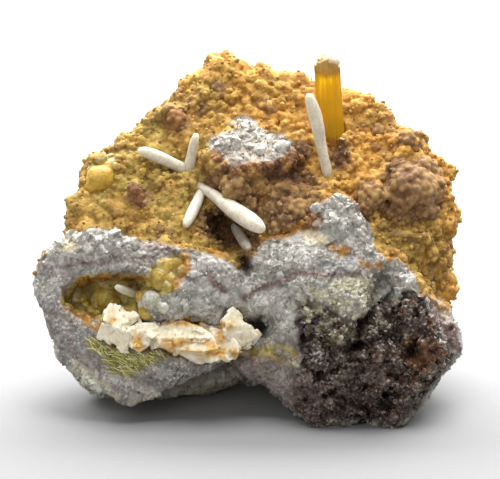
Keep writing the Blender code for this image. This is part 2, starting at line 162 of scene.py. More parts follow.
class Nodes:
    # a short way to lay out a node tree
    def __init__(self, name):
        self.material = bpy.data.materials.new(name)
        self.material.use_nodes = True
        self.tree = self.material.node_tree
        self.shader = self.tree.nodes["Principled BSDF"]
        self.output = self.tree.nodes["Material Output"]
        self.place = self.tree.nodes.new("ShaderNodeTexCoord").outputs["Object"]

    def add(self, kind, inputs=None, **settings):
        node = self.tree.nodes.new(kind)
        for key, value in settings.items():
            setattr(node, key, value)
        for key, value in (inputs or {}).items():
            if isinstance(value, bpy.types.NodeSocket):
                self.tree.links.new(value, node.inputs[key])
            else:
                node.inputs[key].default_value = value
        return node

    def noise(self, size, detail=3.0, roughness=0.6, distortion=0.0):
        # size is the width of a patch in millimetres
        node = self.add("ShaderNodeTexNoise", {
            "Vector": self.place, "Scale": 1 / (size * mm), "Detail": detail,
            "Roughness": roughness, "Distortion": distortion})
        return node.outputs["Fac"]

    def cells(self, size):
        # every cell has a random colour of its own
        node = self.add("ShaderNodeTexVoronoi", {"Vector": self.place, "Scale": 1 / (size * mm)})
        return node.outputs["Color"]

    def ramp(self, value, *stops):
        node = self.add("ShaderNodeValToRGB", {"Fac": value})
        ramp = node.color_ramp
        while len(ramp.elements) < len(stops):
            ramp.elements.new(0.5)
        for element, (position, colour) in zip(ramp.elements, stops):
            element.position = position
            element.color = (*colour, 1) if isinstance(colour, tuple) else (colour, colour, colour, 1)
        return node.outputs["Color"]

    def spread(self, value, tones, low, high):
        # the tones in even steps over a range of the value
        step = (high - low) / (len(tones) - 1)
        return self.ramp(value, *[(low + step * order, tone) for order, tone in enumerate(tones)])

    def mix(self, factor, first, second, blend="MIX"):
        node = self.add("ShaderNodeMix", data_type="RGBA", blend_type=blend)
        for key, value in ((0, factor), (6, first), (7, second)):
            if isinstance(value, bpy.types.NodeSocket):
                self.tree.links.new(value, node.inputs[key])
            elif key == 0:
                node.inputs[key].default_value = value
            else:
                tone = value if isinstance(value, tuple) else (value, value, value)
                node.inputs[key].default_value = (*tone, 1)
        return node.outputs[2]

    def maths(self, operation, *values):
        node = self.add("ShaderNodeMath", operation=operation)
        for index, value in enumerate(values):
            if isinstance(value, bpy.types.NodeSocket):
                self.tree.links.new(value, node.inputs[index])
            else:
                node.inputs[index].default_value = value
        return node.outputs[0]

    def specks(self, size, level):
        # single cells that stand out, fewer of them the higher the level
        return self.maths("GREATER_THAN", self.cells(size), level)

    def attribute(self, name):
        node = self.add("ShaderNodeAttribute", attribute_name=name)
        parts = self.add("ShaderNodeSeparateColor", {"Color": node.outputs["Color"]})
        return parts.outputs[0], parts.outputs[1], parts.outputs[2]

    def bump(self, height, strength, distance, normal=None):
        node = self.add("ShaderNodeBump", {"Height": height, "Strength": strength, "Distance": distance * mm})
        if normal is not None:
            self.tree.links.new(normal, node.inputs["Normal"])
        return node.outputs["Normal"]

    def facets(self, size, amount):
        # tilts each small cell its own way, as the faces of a broken, sugary crust are
        tilt = self.add("ShaderNodeVectorMath", {
            0: self.cells(size), 1: (0.5, 0.5, 0.5)}, operation="SUBTRACT")
        scaled = self.add("ShaderNodeVectorMath", {0: tilt.outputs[0]}, operation="SCALE")
        if isinstance(amount, bpy.types.NodeSocket):
            self.tree.links.new(amount, scaled.inputs["Scale"])
        else:
            scaled.inputs["Scale"].default_value = amount
        normal = self.add("ShaderNodeNewGeometry").outputs["Normal"]
        total = self.add("ShaderNodeVectorMath", {0: normal, 1: scaled.outputs[0]}, operation="ADD")
        return self.add("ShaderNodeVectorMath", {0: total.outputs[0]}, operation="NORMALIZE").outputs[0]

    def feed(self, **inputs):
        names = {"color": "Base Color", "roughness": "Roughness", "normal": "Normal", "ior": "IOR",
                 "transmission": "Transmission Weight", "subsurface": "Subsurface Weight",
                 "radius": "Subsurface Radius", "scatterScale": "Subsurface Scale",
                 "specular": "Specular IOR Level"}
        for key, value in inputs.items():
            socket = self.shader.inputs[names[key]]
            if isinstance(value, bpy.types.NodeSocket):
                self.tree.links.new(value, socket)
            elif key == "color":
                socket.default_value = (*value, 1)
            else:
                socket.default_value = value
        return self.material


rockColours = {
    "ochre": ((0.22, 0.115, 0.022), (0.42, 0.24, 0.045), (0.60, 0.38, 0.09)),
    "ochreOrange": ((0.32, 0.13, 0.022), (0.60, 0.29, 0.045), (0.80, 0.48, 0.11)),
    "ochreOlive": ((0.17, 0.12, 0.025), (0.38, 0.28, 0.06), (0.56, 0.43, 0.12)),
    "brown": ((0.09, 0.045, 0.018), (0.24, 0.13, 0.052), (0.40, 0.24, 0.105)),
    "ledge": ((0.135, 0.127, 0.110), (0.25, 0.236, 0.206), (0.43, 0.405, 0.355)),
    "paintedGlint": (0.72, 0.71, 0.67),
    "dust": (0.46, 0.41, 0.32),
    # painted shade for the pits and cracks
    "pit": (0.02, 0.014, 0.010),
    "ledgeViolet": (0.19, 0.145, 0.13),
    "ledgeBlue": (0.25, 0.255, 0.25),
    "ledgeTan": (0.36, 0.31, 0.17),
    "rim": ((0.06, 0.065, 0.07), (0.17, 0.175, 0.18), (0.42, 0.42, 0.40)),
    "quartz": ((0.24, 0.23, 0.205), (0.38, 0.365, 0.325), (0.62, 0.60, 0.54)),
    "dark": ((0.020, 0.012, 0.010), (0.070, 0.043, 0.034), (0.20, 0.15, 0.12)),
    "violet": ((0.09, 0.05, 0.04), (0.19, 0.13, 0.11), (0.36, 0.30, 0.26)),
    "sugar": ((0.20, 0.18, 0.11), (0.38, 0.35, 0.23), (0.62, 0.58, 0.42)),
    "cream": ((0.55, 0.46, 0.30), (0.70, 0.62, 0.46)),
    "olive": ((0.13, 0.09, 0.025), (0.36, 0.275, 0.075), (0.52, 0.43, 0.16)),
    "fibre": ((0.07, 0.065, 0.025), (0.17, 0.16, 0.05), (0.34, 0.33, 0.12)),
    "pale": ((0.30, 0.29, 0.22), (0.52, 0.51, 0.42), (0.70, 0.69, 0.60)),
    "backSide": ((0.10, 0.065, 0.032), (0.22, 0.155, 0.080), (0.36, 0.29, 0.18)),
    "stain": ((0.25, 0.095, 0.010), (0.45, 0.21, 0.020)),
    "rust": ((0.035, 0.015, 0.010), (0.13, 0.055, 0.025), (0.34, 0.17, 0.06)),
    # painted shade, multiplied into the crevices and the shaded patches
    "creviceShade": (0.40, 0.26, 0.16),
    "dusky": (0.62, 0.54, 0.46),
}


def rockMaterial():
    n = Nodes("limonite_and_quartz")
    ledge, quartz, dark = n.attribute("zoneLedge")
    olive, fibre, pale = n.attribute("zoneCrust")
    brown, stain, rust = n.attribute("zoneStain")
    violet, cream, sugar = n.attribute("zoneTint")
    shade, rim, warmth = n.attribute("zoneDepth")
    pit, speckled, backSide = n.attribute("zonePits")
    creviceShade, tone, chipTone = n.attribute("relief")
    broad, middle, fine = n.noise(5.0, 3), n.noise(1.2, 4), n.noise(0.3, 4)
    grain = n.mix(0.35, n.mix(0.5, middle, fine), tone)
    chips = n.mix(0.18, n.mix(0.55, middle, fine), chipTone)

    def spread(name, low=0.32, high=0.68, source=grain):
        return n.spread(source, rockColours[name], low, high)

    colour = spread("ochre")
    orange = n.maths("MULTIPLY", warmth, n.ramp(broad, (0.38, 0.1), (0.58, 0.85)))
    cool = n.ramp(n.noise(3.6, 3), (0.42, 0.05), (0.62, 0.7))
    cool = n.maths("MULTIPLY", n.maths("SUBTRACT", 1.15, warmth), cool)
    colour = n.mix(orange, colour, spread("ochreOrange"))
    colour = n.mix(cool, colour, spread("ochreOlive"))
    colour = n.mix(n.ramp(n.noise(4.4, 3), (0.44, 0.0), (0.62, 0.5)), colour, rockColours["dusky"], "MULTIPLY")
    colour = n.mix(brown, colour, spread("brown"))
    grey = spread("ledge", 0.34, 0.68, chips)
    grey = n.mix(n.ramp(n.noise(2.6, 4, 0.6, 0.6), (0.50, 0.0), (0.60, 0.7)), grey, rockColours["ledgeViolet"])
    grey = n.mix(n.ramp(n.noise(2.0, 3, 0.4), (0.52, 0.0), (0.62, 0.6)), grey, rockColours["ledgeBlue"])
    grey = n.mix(n.ramp(n.noise(1.7, 4, 0.8), (0.54, 0.0), (0.64, 0.6)), grey, rockColours["ledgeTan"])
    grey = n.mix(n.maths("MULTIPLY", rim, 0.45), grey, spread("rim", 0.34, 0.68, chips))
    # painted glints: white specks scattered on the ledge in patches
    glintPatches = n.ramp(n.noise(2.2, 3), (0.40, 0.08), (0.62, 0.65))
    grey = n.mix(n.ramp(n.noise(2.8, 3, 0.5), (0.46, 0.0), (0.60, 0.75)), grey, spread("quartz", 0.3, 0.7, middle))
    grey = n.mix(n.maths("MULTIPLY", n.specks(0.20, 0.68), glintPatches), grey, rockColours["paintedGlint"])
    colour = n.mix(ledge, colour, grey)
    colour = n.mix(quartz, colour, spread("quartz", 0.32, 0.66, chips))
    colour = n.mix(dark, colour, spread("dark", 0.36, 0.74, chips))
    dust = n.maths("MULTIPLY", n.specks(0.19, 0.68), n.ramp(n.noise(2.4, 3), (0.42, 0.0), (0.60, 0.6)))
    colour = n.mix(n.maths("MULTIPLY", dust, speckled), colour, rockColours["dust"])
    colour = n.mix(violet, colour, spread("violet", 0.34, 0.70, chips))
    colour = n.mix(sugar, colour, spread("sugar", 0.34, 0.66, chips))
    colour = n.mix(cream, colour, spread("cream"))
    colour = n.mix(pale, colour, spread("pale", 0.34, 0.66, chips))
    bare = n.maths("MULTIPLY", backSide, n.ramp(n.noise(4.0, 4), (0.42, 1.0), (0.60, 0.55)))
    colour = n.mix(bare, colour, spread("backSide"))
    colour = n.mix(olive, colour, spread("olive"))
    colour = n.mix(fibre, colour, spread("fibre"))
    colour = n.mix(rust, colour, spread("rust"))
    colour = n.mix(stain, colour, spread("stain", 0.4, 0.6))
    # painted shade: darker in the crevices between caps, knobs and hollows, and over the shaded patches
    colour = n.mix(n.maths("MULTIPLY", creviceShade, 0.5), colour, rockColours["creviceShade"], "MULTIPLY")
    colour = n.mix(n.maths("MULTIPLY", shade, 0.7), colour, rockColours["creviceShade"], "MULTIPLY")
    # painted shade: the pits and cracks near black
    colour = n.mix(n.maths("MULTIPLY", pit, 0.85), colour, rockColours["pit"])
    crystalline = n.maths("MAXIMUM", n.maths("MAXIMUM", ledge, quartz), n.maths("MAXIMUM", dark, pale))
    roughness = n.mix(crystalline, 0.85, n.ramp(n.cells(0.3), (0.0, 0.12), (1.0, 0.55)))
    roughness = n.mix(olive, roughness, 0.30)
    facets = n.facets(0.26, n.maths("MULTIPLY_ADD", quartz, -0.25, n.maths("MULTIPLY", crystalline, 0.5)))
    normal = n.bump(fine, 0.45, 0.09, facets)
    n.feed(color=colour, roughness=roughness, normal=normal, specular=0.5)
    return n.material


# The rock: one form from the CAD solid, worn and broken, then cut in pieces.

rock = {
    "firstVoxel": 0.42,     # fuses the crystals' sockets and rounds the CAD faces
    "smoothing": 5,
    "voxel": 0.15,
    "backShare": 0.26,      # of the back's faces that are kept
    "cuts": {"upper": 17.0, "back": 13.5},
    "cutTilt": 0.6,         # how far the upper cut leans back
    "cutOverlap": 0.06,     # what the ledge's piece reaches into the face's
    # rounded caps of the limonite and of the waxy lining: spacing, radius, share of the radius that is sunk
    "lumps": (1.8, 1.2, 0.55),
    "knobs": (0.85, 0.58, 0.42),
    "beads": (0.42, 0.28, 0.40),
    "wax": (1.5, 1.0, 0.45),
    # broken facets: spacing, tilt and step
    "ledgePlates": (1.6, 0.20, 0.08),
    "ledgeChips": (0.36, 0.32, 0.025),
    "quartzPlates": (0.7, 0.18, 0.06),
    "darkLumps": (1.6, 0.45, 0.22),
    "darkChips": (0.45, 0.60, 0.10),
    "paleLumps": (1.3, 0.40, 0.15),
    "paleChips": (0.5, 0.45, 0.06),
    # how deep the shaded places, the pits and the dark block's hollows lie
    "sunk": {"shade": 0.6, "pit": 1.5, "hollow": 0.7},
}
# knobs that close the rock round the crystals' roots: right, up, away and radius
rootKnobs = [
    (-5.4, 25.4, 9.6, 1.5), (-6.3, 26.6, 10.4, 1.1), (8.7, 24.7, 9.6, 1.6), (9.3, 29.2, 11.6, 1.9),
    (9.9, 29.4, 10.9, 0.9), (-1.9, 21.4, 12.2, 1.2), (-11.0, 13.3, 7.4, 1.0), (-12.4, 9.8, 5.3, 1.2),
    (-9.8, 9.6, 5.3, 1.3), (-7.0, 9.4, 5.3, 1.3), (-4.2, 9.2, 5.4, 1.2), (-1.8, 9.8, 5.6, 1.2),
    (-14.0, 10.4, 5.2, 1.1), (-13.6, 12.0, 5.6, 0.9),
]
ledgeLine = [
    (-23.5, 15.0), (-22.9, 15.8), (-21.2, 19.0), (-19.9, 19.9), (-17.8, 20.4), (-15.7, 20.5), (-13.7, 20.5),
    (-11.6, 19.6), (-7.9, 19.0), (-6.3, 18.6), (-3.7, 18.1), (-2.1, 17.3), (-1.0, 16.7), (0.0, 17.7),
    (1.6, 19.6), (4.2, 20.5), (6.3, 21.5), (7.1, 22.6), (8.4, 23.8), (9.1, 24.4), (10.1, 24.3), (11.3, 23.3),
    (12.4, 21.5), (12.9, 19.1), (14.2, 17.3), (15.0, 18.0), (17.0, 16.3), (17.6, 14.4), (20.0, 12.3),
    (20.6, 12.5), (23.5, 11.0),
]


def rockForm():
    takeUp(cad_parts["limonite_rock"])
    form = bpy.data.objects.new("rockForm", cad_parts["limonite_rock"].data.copy())
    bpy.context.scene.collection.objects.link(form)
    parts = [form]
    for right, up, away, radius in rootKnobs:
        deselectAll()
        bpy.ops.mesh.primitive_ico_sphere_add(subdivisions=3, radius=radius * mm, location=toFrame(right, up, away))
        bpy.ops.object.transform_apply(location=True, rotation=False, scale=False)
        parts.append(bpy.context.object)
    takeUp(form)
    bpy.ops.object.mode_set(mode="EDIT")
    bpy.ops.mesh.select_all(action="SELECT")
    bpy.ops.mesh.remove_doubles(threshold=1e-6)
    bpy.ops.object.mode_set(mode="OBJECT")
    form = joinAll("rockForm", parts)
    applyModifier(form, "REMESH", "runTogether", mode="VOXEL", voxel_size=rock["firstVoxel"] * mm)
    applyModifier(form, "SMOOTH", "wear", factor=0.5, iterations=rock["smoothing"])
    applyModifier(form, "REMESH", "fineSkin", mode="VOXEL", voxel_size=rock["voxel"] * mm)
    applyModifier(form, "SMOOTH", "settle", factor=0.5, iterations=3)
    return form


# Patches of the front, each an outline on the page: right and up in millimetres.
outlines = {
    "quartz": [
        [(-4.6, 30), (-3.8, 30.6), (-2.5, 30.8), (-1.5, 31.5), (-1.1, 32.1), (-1.7, 32.5), (-0.8, 32.8),
         (0.3, 32.4), (1.1, 31.5), (2.1, 30.9), (3.3, 30.8), (4.4, 30), (5, 29.5), (4.4, 28.8), (2.9, 28),
         (1.2, 27.7), (-0.3, 27.8), (-1.5, 27.4), (-2.3, 27.5), (-3, 28.5), (-4.4, 29.2)],
        [(-20.6, 18.6), (-19.7, 20.1), (-17.5, 20.6), (-15.9, 20.8), (-13.8, 20.4), (-12.4, 19.7), (-11.3, 19.2),
         (-11.5, 18.6), (-13.8, 18.1), (-15.9, 17.7), (-18.1, 17.8), (-19.9, 18.1)],
        [(9, 24.5), (10.4, 23.3), (11.9, 21.5), (12.3, 20.2), (13.2, 17.7), (12.6, 17.3), (10.7, 18.6), (10, 19.3),
         (8, 20.1), (7.5, 21.5), (6.4, 22.5)],
        [(6.1, 22.5), (7, 23.6), (7.5, 22.6), (7.2, 21.7)],
        [(-8, 14.5), (-6.3, 15), (-4.8, 13.3), (-3.1, 12.1), (-3.8, 11), (-5.7, 12.1), (-7.3, 11.9), (-8.4, 11),
         (-9.2, 11.4), (-8.4, 12.9)],
    ],
    "softWhite": [
        [(-6, 17.8), (-4.2, 17.7), (-2.9, 16.7), (-2.5, 15.4), (-3.4, 13.5), (-4.8, 13.3), (-6.1, 15),
         (-6.3, 16.7)],
        [(0.4, 17.3), (1.3, 19.4), (3.7, 19.8), (5.2, 18.6), (4.8, 17.3), (3.1, 16.7), (1.3, 15.9)],
        [(-0.7, 13.3), (1.3, 14.6), (4.2, 15.2), (4.9, 13.3), (5.1, 11.4), (4.6, 9.8), (3.1, 9.3), (1.7, 10.2),
         (0.6, 11.7)],
    ],
    "violet": [
        [(-22.2, 17.3), (-19.7, 17), (-16.4, 17.5), (-13, 17.8), (-10.4, 18.2), (-7, 18.6), (-6.9, 18.2),
         (-10.4, 17.7), (-13, 17.4), (-16.4, 17), (-19.7, 16.6), (-22.2, 16.8)],
        [(-11.4, 19.2), (-9.4, 19.4), (-7, 18.5), (-6.1, 17.3), (-6.9, 17.3), (-8.9, 18.4), (-11.4, 18.6)],
        [(-5.5, 17.3), (-4.6, 17.3), (-3.6, 15.9), (-2.2, 14.4), (-2.5, 13.8), (-4, 15), (-5, 16.3)],
        [(-0.9, 13.8), (1.3, 15.1), (3.8, 16.1), (5.2, 16.6), (8.4, 16.3), (12.8, 16), (12.8, 15.5), (8.4, 15.8),
         (5.2, 16), (4, 15.3), (1.5, 14.4), (-0.7, 13)],
        [(18.4, 14.2), (19.1, 13.5), (20.7, 12.8), (21.3, 11.2), (22.3, 8.3), (21.5, 7.5), (20.7, 8.6),
         (19.9, 10.2), (19.1, 11.8)],
    ],
    "dark": [
        [(5, 13.3), (7.6, 13.1), (9.4, 12.1), (10.7, 11.4), (12.2, 12.1), (13.2, 13.3), (14.7, 13.5), (17.8, 14.4),
         (19.1, 11.8), (20.7, 8.6), (21.5, 7.5), (19.6, 4.9), (18.5, 3.7), (17.2, 1.7), (15.2, -0.3), (13.7, 0.2),
         (10.6, 0.6), (6.7, -0.3), (5.6, 0.6), (4.9, 1.6), (4.2, 3.7), (5.2, 6.4), (4.8, 9.6)],
    ],
    "sugar": [
        [(5.2, 13.3), (7.6, 13.3), (9.7, 11.9), (10.5, 10.2), (9.4, 8.6), (7.6, 9.3), (5.9, 10.6)],
        [(5, 15), (8.4, 15.4), (11.5, 15.9), (13, 15.4), (13.3, 14.4), (12.8, 13), (12.2, 12.1), (10.7, 11.4),
         (9.4, 12.1), (7.6, 13.3), (5.6, 13.3)],
        [(12.4, 12.2), (14.2, 12.1), (14.4, 11.2), (13.7, 10.6), (12.6, 11)],
        [(10, 10.2), (11.1, 9.9), (11.3, 8.9), (10.5, 8.3), (9.9, 9.1)],
    ],
    "cream": [
        [(5.2, 20.4), (6.4, 20.8), (8.1, 20.1), (8.1, 19.3), (7.1, 18.9), (5.9, 19.6)],
        [(19, 13.4), (19.9, 13.4), (20.7, 12.5), (20.8, 11.4), (19.9, 11.9)],
        [(-20.4, 18.8), (-19.9, 19.9), (-18, 20.4), (-17.8, 19), (-19.3, 18.4)],
    ],
    "olive": [
        [(-19.7, 13.3), (-19.3, 14.4), (-18.3, 15.5), (-16.8, 16), (-15.4, 16.2), (-13.1, 15.9), (-10.7, 15.9),
         (-10.2, 16.9), (-9.1, 17.7), (-7.3, 18.3), (-6.3, 18), (-6.5, 16.7), (-7.6, 15.6), (-7.8, 14.4),
         (-8.6, 13.8), (-9.9, 14), (-10.3, 12.8), (-11.5, 11.4), (-12.8, 11.2), (-14.5, 12.7), (-15.4, 11),
         (-16.8, 11.4), (-19.1, 12.4)],
        [(-17.3, 25.4), (-17, 27.2), (-16, 28.2), (-14.5, 28.8), (-14, 28), (-14.5, 26.8), (-15.3, 25.7),
         (-16.4, 24.9)],
        [(-1.1, 9.1), (1.3, 9.3), (3.1, 8.9), (5.2, 7.9), (5.5, 6.4), (3.7, 6.4), (1.3, 7.5), (-1.1, 7.9)],
    ],
    "fibre": [
        [(-17.1, 9.1), (-15.3, 9.3), (-13.8, 8.5), (-12.2, 7.9), (-8.4, 7.9), (-9.7, 7), (-11, 6.3), (-13.2, 5.4),
         (-14.7, 5.8), (-15.2, 7.3), (-16.2, 8.1)],
    ],
    "rim": [
        [(-22.5, 15), (-20.9, 13.7), (-18.1, 11.3), (-17.1, 9), (-15.1, 6.7), (-13, 4.8), (-10.4, 5), (-6.4, 6.7),
         (-1.7, 7.1), (-1.7, 6.3), (-8, 4.2), (-12.4, 2.6), (-13.8, 2.7), (-18.1, 6.6), (-20.9, 10), (-22.3, 12.7)],
    ],
    "rust": [
        [(15.3, 8.6), (16.3, 9.7), (18.4, 9.7), (19.9, 8.6), (20.7, 7.6), (19.5, 6.4), (17.8, 5.8), (16.3, 6.6),
         (15.3, 7.6)],
        [(-4.6, 29.2), (-3, 28.5), (-2.3, 27.5), (-1.5, 27.4), (-0.3, 27.8), (1.2, 27.7), (2.9, 28), (4.4, 28.8),
         (5, 29.5), (5.7, 28.9), (5.2, 28), (3.4, 27.3), (1.3, 27), (-0.3, 27.1), (-1.5, 26.7), (-2.7, 26.9),
         (-3.8, 27.9)],
        [(3.8, 28), (5.2, 29.3), (5.9, 28.5), (5.8, 27.2), (4.8, 26.8)],
        [(7.3, 22.8), (6.5, 22.4), (6.1, 21.3), (6.9, 21.1), (7.8, 21.5)],
    ],
    "stain": [
        [(8, 19.3), (9.2, 19.4), (10.6, 18.8), (10.3, 18.2), (9.2, 17.8), (8.1, 18.2)],
        [(11, 18.1), (12.6, 17.3), (14.1, 17.3), (14.5, 18.2), (14.8, 18.7), (15.1, 18), (14.5, 16.9),
         (12.8, 16.6), (11.3, 17.1)],
        [(-19.5, 12.8), (-17.8, 12.2), (-16.3, 11.9), (-15.4, 11), (-15.3, 9.8), (-16.2, 10.2), (-17.3, 11),
         (-18.9, 11.9)],
        [(-18.3, 15.2), (-16.8, 16), (-15.4, 16.1), (-15.4, 15.5), (-16.6, 15.3), (-17.6, 14.8)],
        [(-8.7, 11.7), (-6.8, 11.9), (-4.8, 11.4), (-5.2, 10.9), (-7.1, 11.1), (-8.6, 10.9)],
        [(0.6, 19.5), (1.6, 20.3), (4, 20.6), (5.5, 21.2), (7.1, 21.3), (7.1, 20.9), (5.6, 20.6), (4, 19.9),
         (1.7, 19.5)],
        [(-4.7, 18.6), (-3.8, 18.8), (-2.6, 18.2), (-2.7, 17.7), (-4, 18)],
        [(-18.2, 14.9), (-16.5, 15.9), (-13.5, 16.1), (-11, 16.0), (-10.4, 15.4), (-13.5, 15.5), (-16.3, 15.2)],
        [(-8.2, 18.3), (-6.5, 18.2), (-6.1, 16.8), (-7.2, 15.4), (-7.5, 14.3), (-8.2, 14.2), (-7.9, 15.8),
         (-7, 16.9)],
    ],
    "brown": [
        [(14.1, 27.7), (15.4, 28.3), (17, 28.2), (18.9, 27.4), (19.9, 25.7), (20.1, 23.8), (19.1, 22.6),
         (17.6, 21.7), (15.8, 21.1), (14.5, 22.2), (14.3, 23.8), (13.7, 25.3)],
        [(11.5, 25.7), (12.8, 25.9), (13.9, 25.1), (14.3, 23.8), (13.9, 22.6), (12.4, 22.3), (11.3, 23.2),
         (10.9, 24.5)],
        [(-8.9, 32.5), (-7.8, 33.1), (-6.6, 32.4), (-6.5, 31.4), (-7.6, 30.8), (-8.8, 31.2)],
        [(-13, 24.9), (-11.5, 25.5), (-10.3, 24.7), (-10.5, 23.4), (-12, 23), (-12.9, 23.6)],
        [(-4.4, 26.8), (-2.7, 27.2), (-0.6, 26.8), (0.8, 25.5), (1.7, 24.3), (1.3, 22.4), (0, 22.2), (-1.9, 23.4),
         (-3.8, 23.8), (-4.8, 25.1)],
        [(1.3, 24.3), (3.4, 25.5), (5.9, 24.7), (8.4, 24), (7.6, 22.2), (5.9, 21.3), (3.8, 20.5), (1.9, 20.1),
         (1.3, 21.5)],
        [(-5.7, 22.2), (-3.8, 23.2), (-1.5, 22.6), (0.4, 21.3), (1.3, 19.8), (0.2, 17.3), (-0.4, 16.7),
         (-1.3, 18.6), (-3.1, 19.2), (-5, 20.1)],
        [(8.4, 30.1), (10, 30.4), (10.7, 29.3), (10.5, 27.4), (9.4, 26.8), (8.6, 27.4)],
        [(0.5, 27.2), (4.2, 27.4), (7.1, 26.4), (6.9, 24.9), (4.2, 25.3), (1.3, 25.1)],
    ],
    # holes and cracks: sunk into the rock and painted near black as shade
    "pits": [
        [(-0.3, 11.4), (1.3, 11.5), (1.7, 10.6), (1.3, 9.6), (0.5, 9.9), (-0.2, 10.9)],
        [(13.2, 12.7), (14.8, 14.6), (14.5, 13.3), (13.4, 12.1), (12.4, 11.2), (11.8, 9.7), (10.9, 7.9),
         (10.4, 7.2), (10.7, 9.1), (11.3, 10.6), (12.2, 12.1)],
        [(13.4, 4.1), (14.2, 3.9), (14.3, 2.3), (13.4, 2.3)],
        [(15.8, 8.6), (17, 8.9), (17.8, 7.9), (16.6, 7.2)],
        [(-1.3, 17.7), (-0.4, 18), (0.1, 16.7), (-0.3, 15.9), (-0.9, 16.7)],
    ],
    "crust": [
        [(-18.5, 6.8), (-17.4, 6.4), (-16.2, 5.5), (-14.9, 4.3), (-13.9, 3.3), (-14.5, 2.6), (-16.8, 2.8),
         (-18.3, 4.5)],
        [(-12.6, 2.6), (-10.5, 3.3), (-8, 4), (-5.2, 4.9), (-1.7, 6.1), (-1.1, 5.1), (-2.8, 4.5), (-6.2, 3.4),
         (-8.2, 2.6), (-11.2, 2.4)],
    ],
    # painted shade: inside the vug, its upper-left hollow and under its rim
    "vugShade": [
        [(-19.7, 13.3), (-19.3, 14.4), (-18.3, 15.2), (-16.4, 15.3), (-16.6, 14.2), (-17, 13.1), (-16.6, 12.1),
         (-17.8, 11.9), (-19.1, 12.5)],
        [(-16.2, 15.8), (-13.1, 15.5), (-10.9, 15.5), (-10.7, 14.8), (-12.8, 15), (-15.3, 15)],
        [(-14.5, 12.7), (-13, 12.9), (-11.8, 12.7), (-11.5, 11.7), (-12.8, 11.2)],
    ],
    # painted shade: darker patches in the hollows between and under the brown heads and in other recesses, also sunk
    # in a little
    "shade": [
        [(13.7, 26.1), (14.2, 26.1), (14.7, 23.8), (14.4, 22.2), (13.9, 22.3), (14.2, 24)],
        [(14.3, 22.4), (15.8, 21.3), (17.6, 21.5), (18, 21), (15.8, 20.6), (14.3, 21.5)],
        [(10.7, 24.3), (11.2, 24.5), (11.8, 22.4), (12.8, 21.7), (12.4, 21.3), (11.1, 22.2)],
        [(1.3, 27), (4.2, 27.2), (6.9, 26.1), (6.5, 24.9), (4, 25.5), (1.9, 25.7)],
        [(8.8, 29.3), (9.9, 29.5), (10.2, 28.2), (9.7, 27), (8.9, 27.2)],
        [(-4.4, 22.4), (-2.9, 22.8), (-1.3, 22.2), (-0.4, 20.7), (-1.1, 19), (-2.5, 19.8), (-4, 20.7)],
    ],
}


def blob(right, up, centre, reach, turn=0.0, soft=0.18):
    # 1 inside an oval patch of the page, fading to 0 over its edge
    angle = math.radians(turn)
    along = (right - centre[0]) * math.cos(angle) + (up - centre[1]) * math.sin(angle)
    across = (up - centre[1]) * math.cos(angle) - (right - centre[0]) * math.sin(angle)
    return 1 - softStep(np.hypot(along / reach[0], across / reach[1]), 1 - soft, 1 + soft)


def within(right, up, kind, soft=0.25):
    # 1 inside the outlines of a kind, fading to 0 over twice the soft width
    total = np.zeros(len(right))
    for corners in outlines[kind]:
        nearest = np.full(len(right), 1e9)
        odd = np.zeros(len(right), bool)
        for (r0, u0), (r1, u1) in zip(corners, corners[1:] + corners[:1]):
            dr, du = r1 - r0, u1 - u0
            share = np.clip(((right - r0) * dr + (up - u0) * du) / (dr * dr + du * du), 0, 1)
            nearest = np.minimum(nearest, np.hypot(right - r0 - share * dr, up - u0 - share * du))
            crosses = (u0 > up) != (u1 > up)
            odd ^= crosses & (right < r0 + dr * (up - u0) / (du if du else 1e-9))
        total = np.maximum(total, softStep(np.where(odd, nearest, -nearest), -soft, soft))
    return total


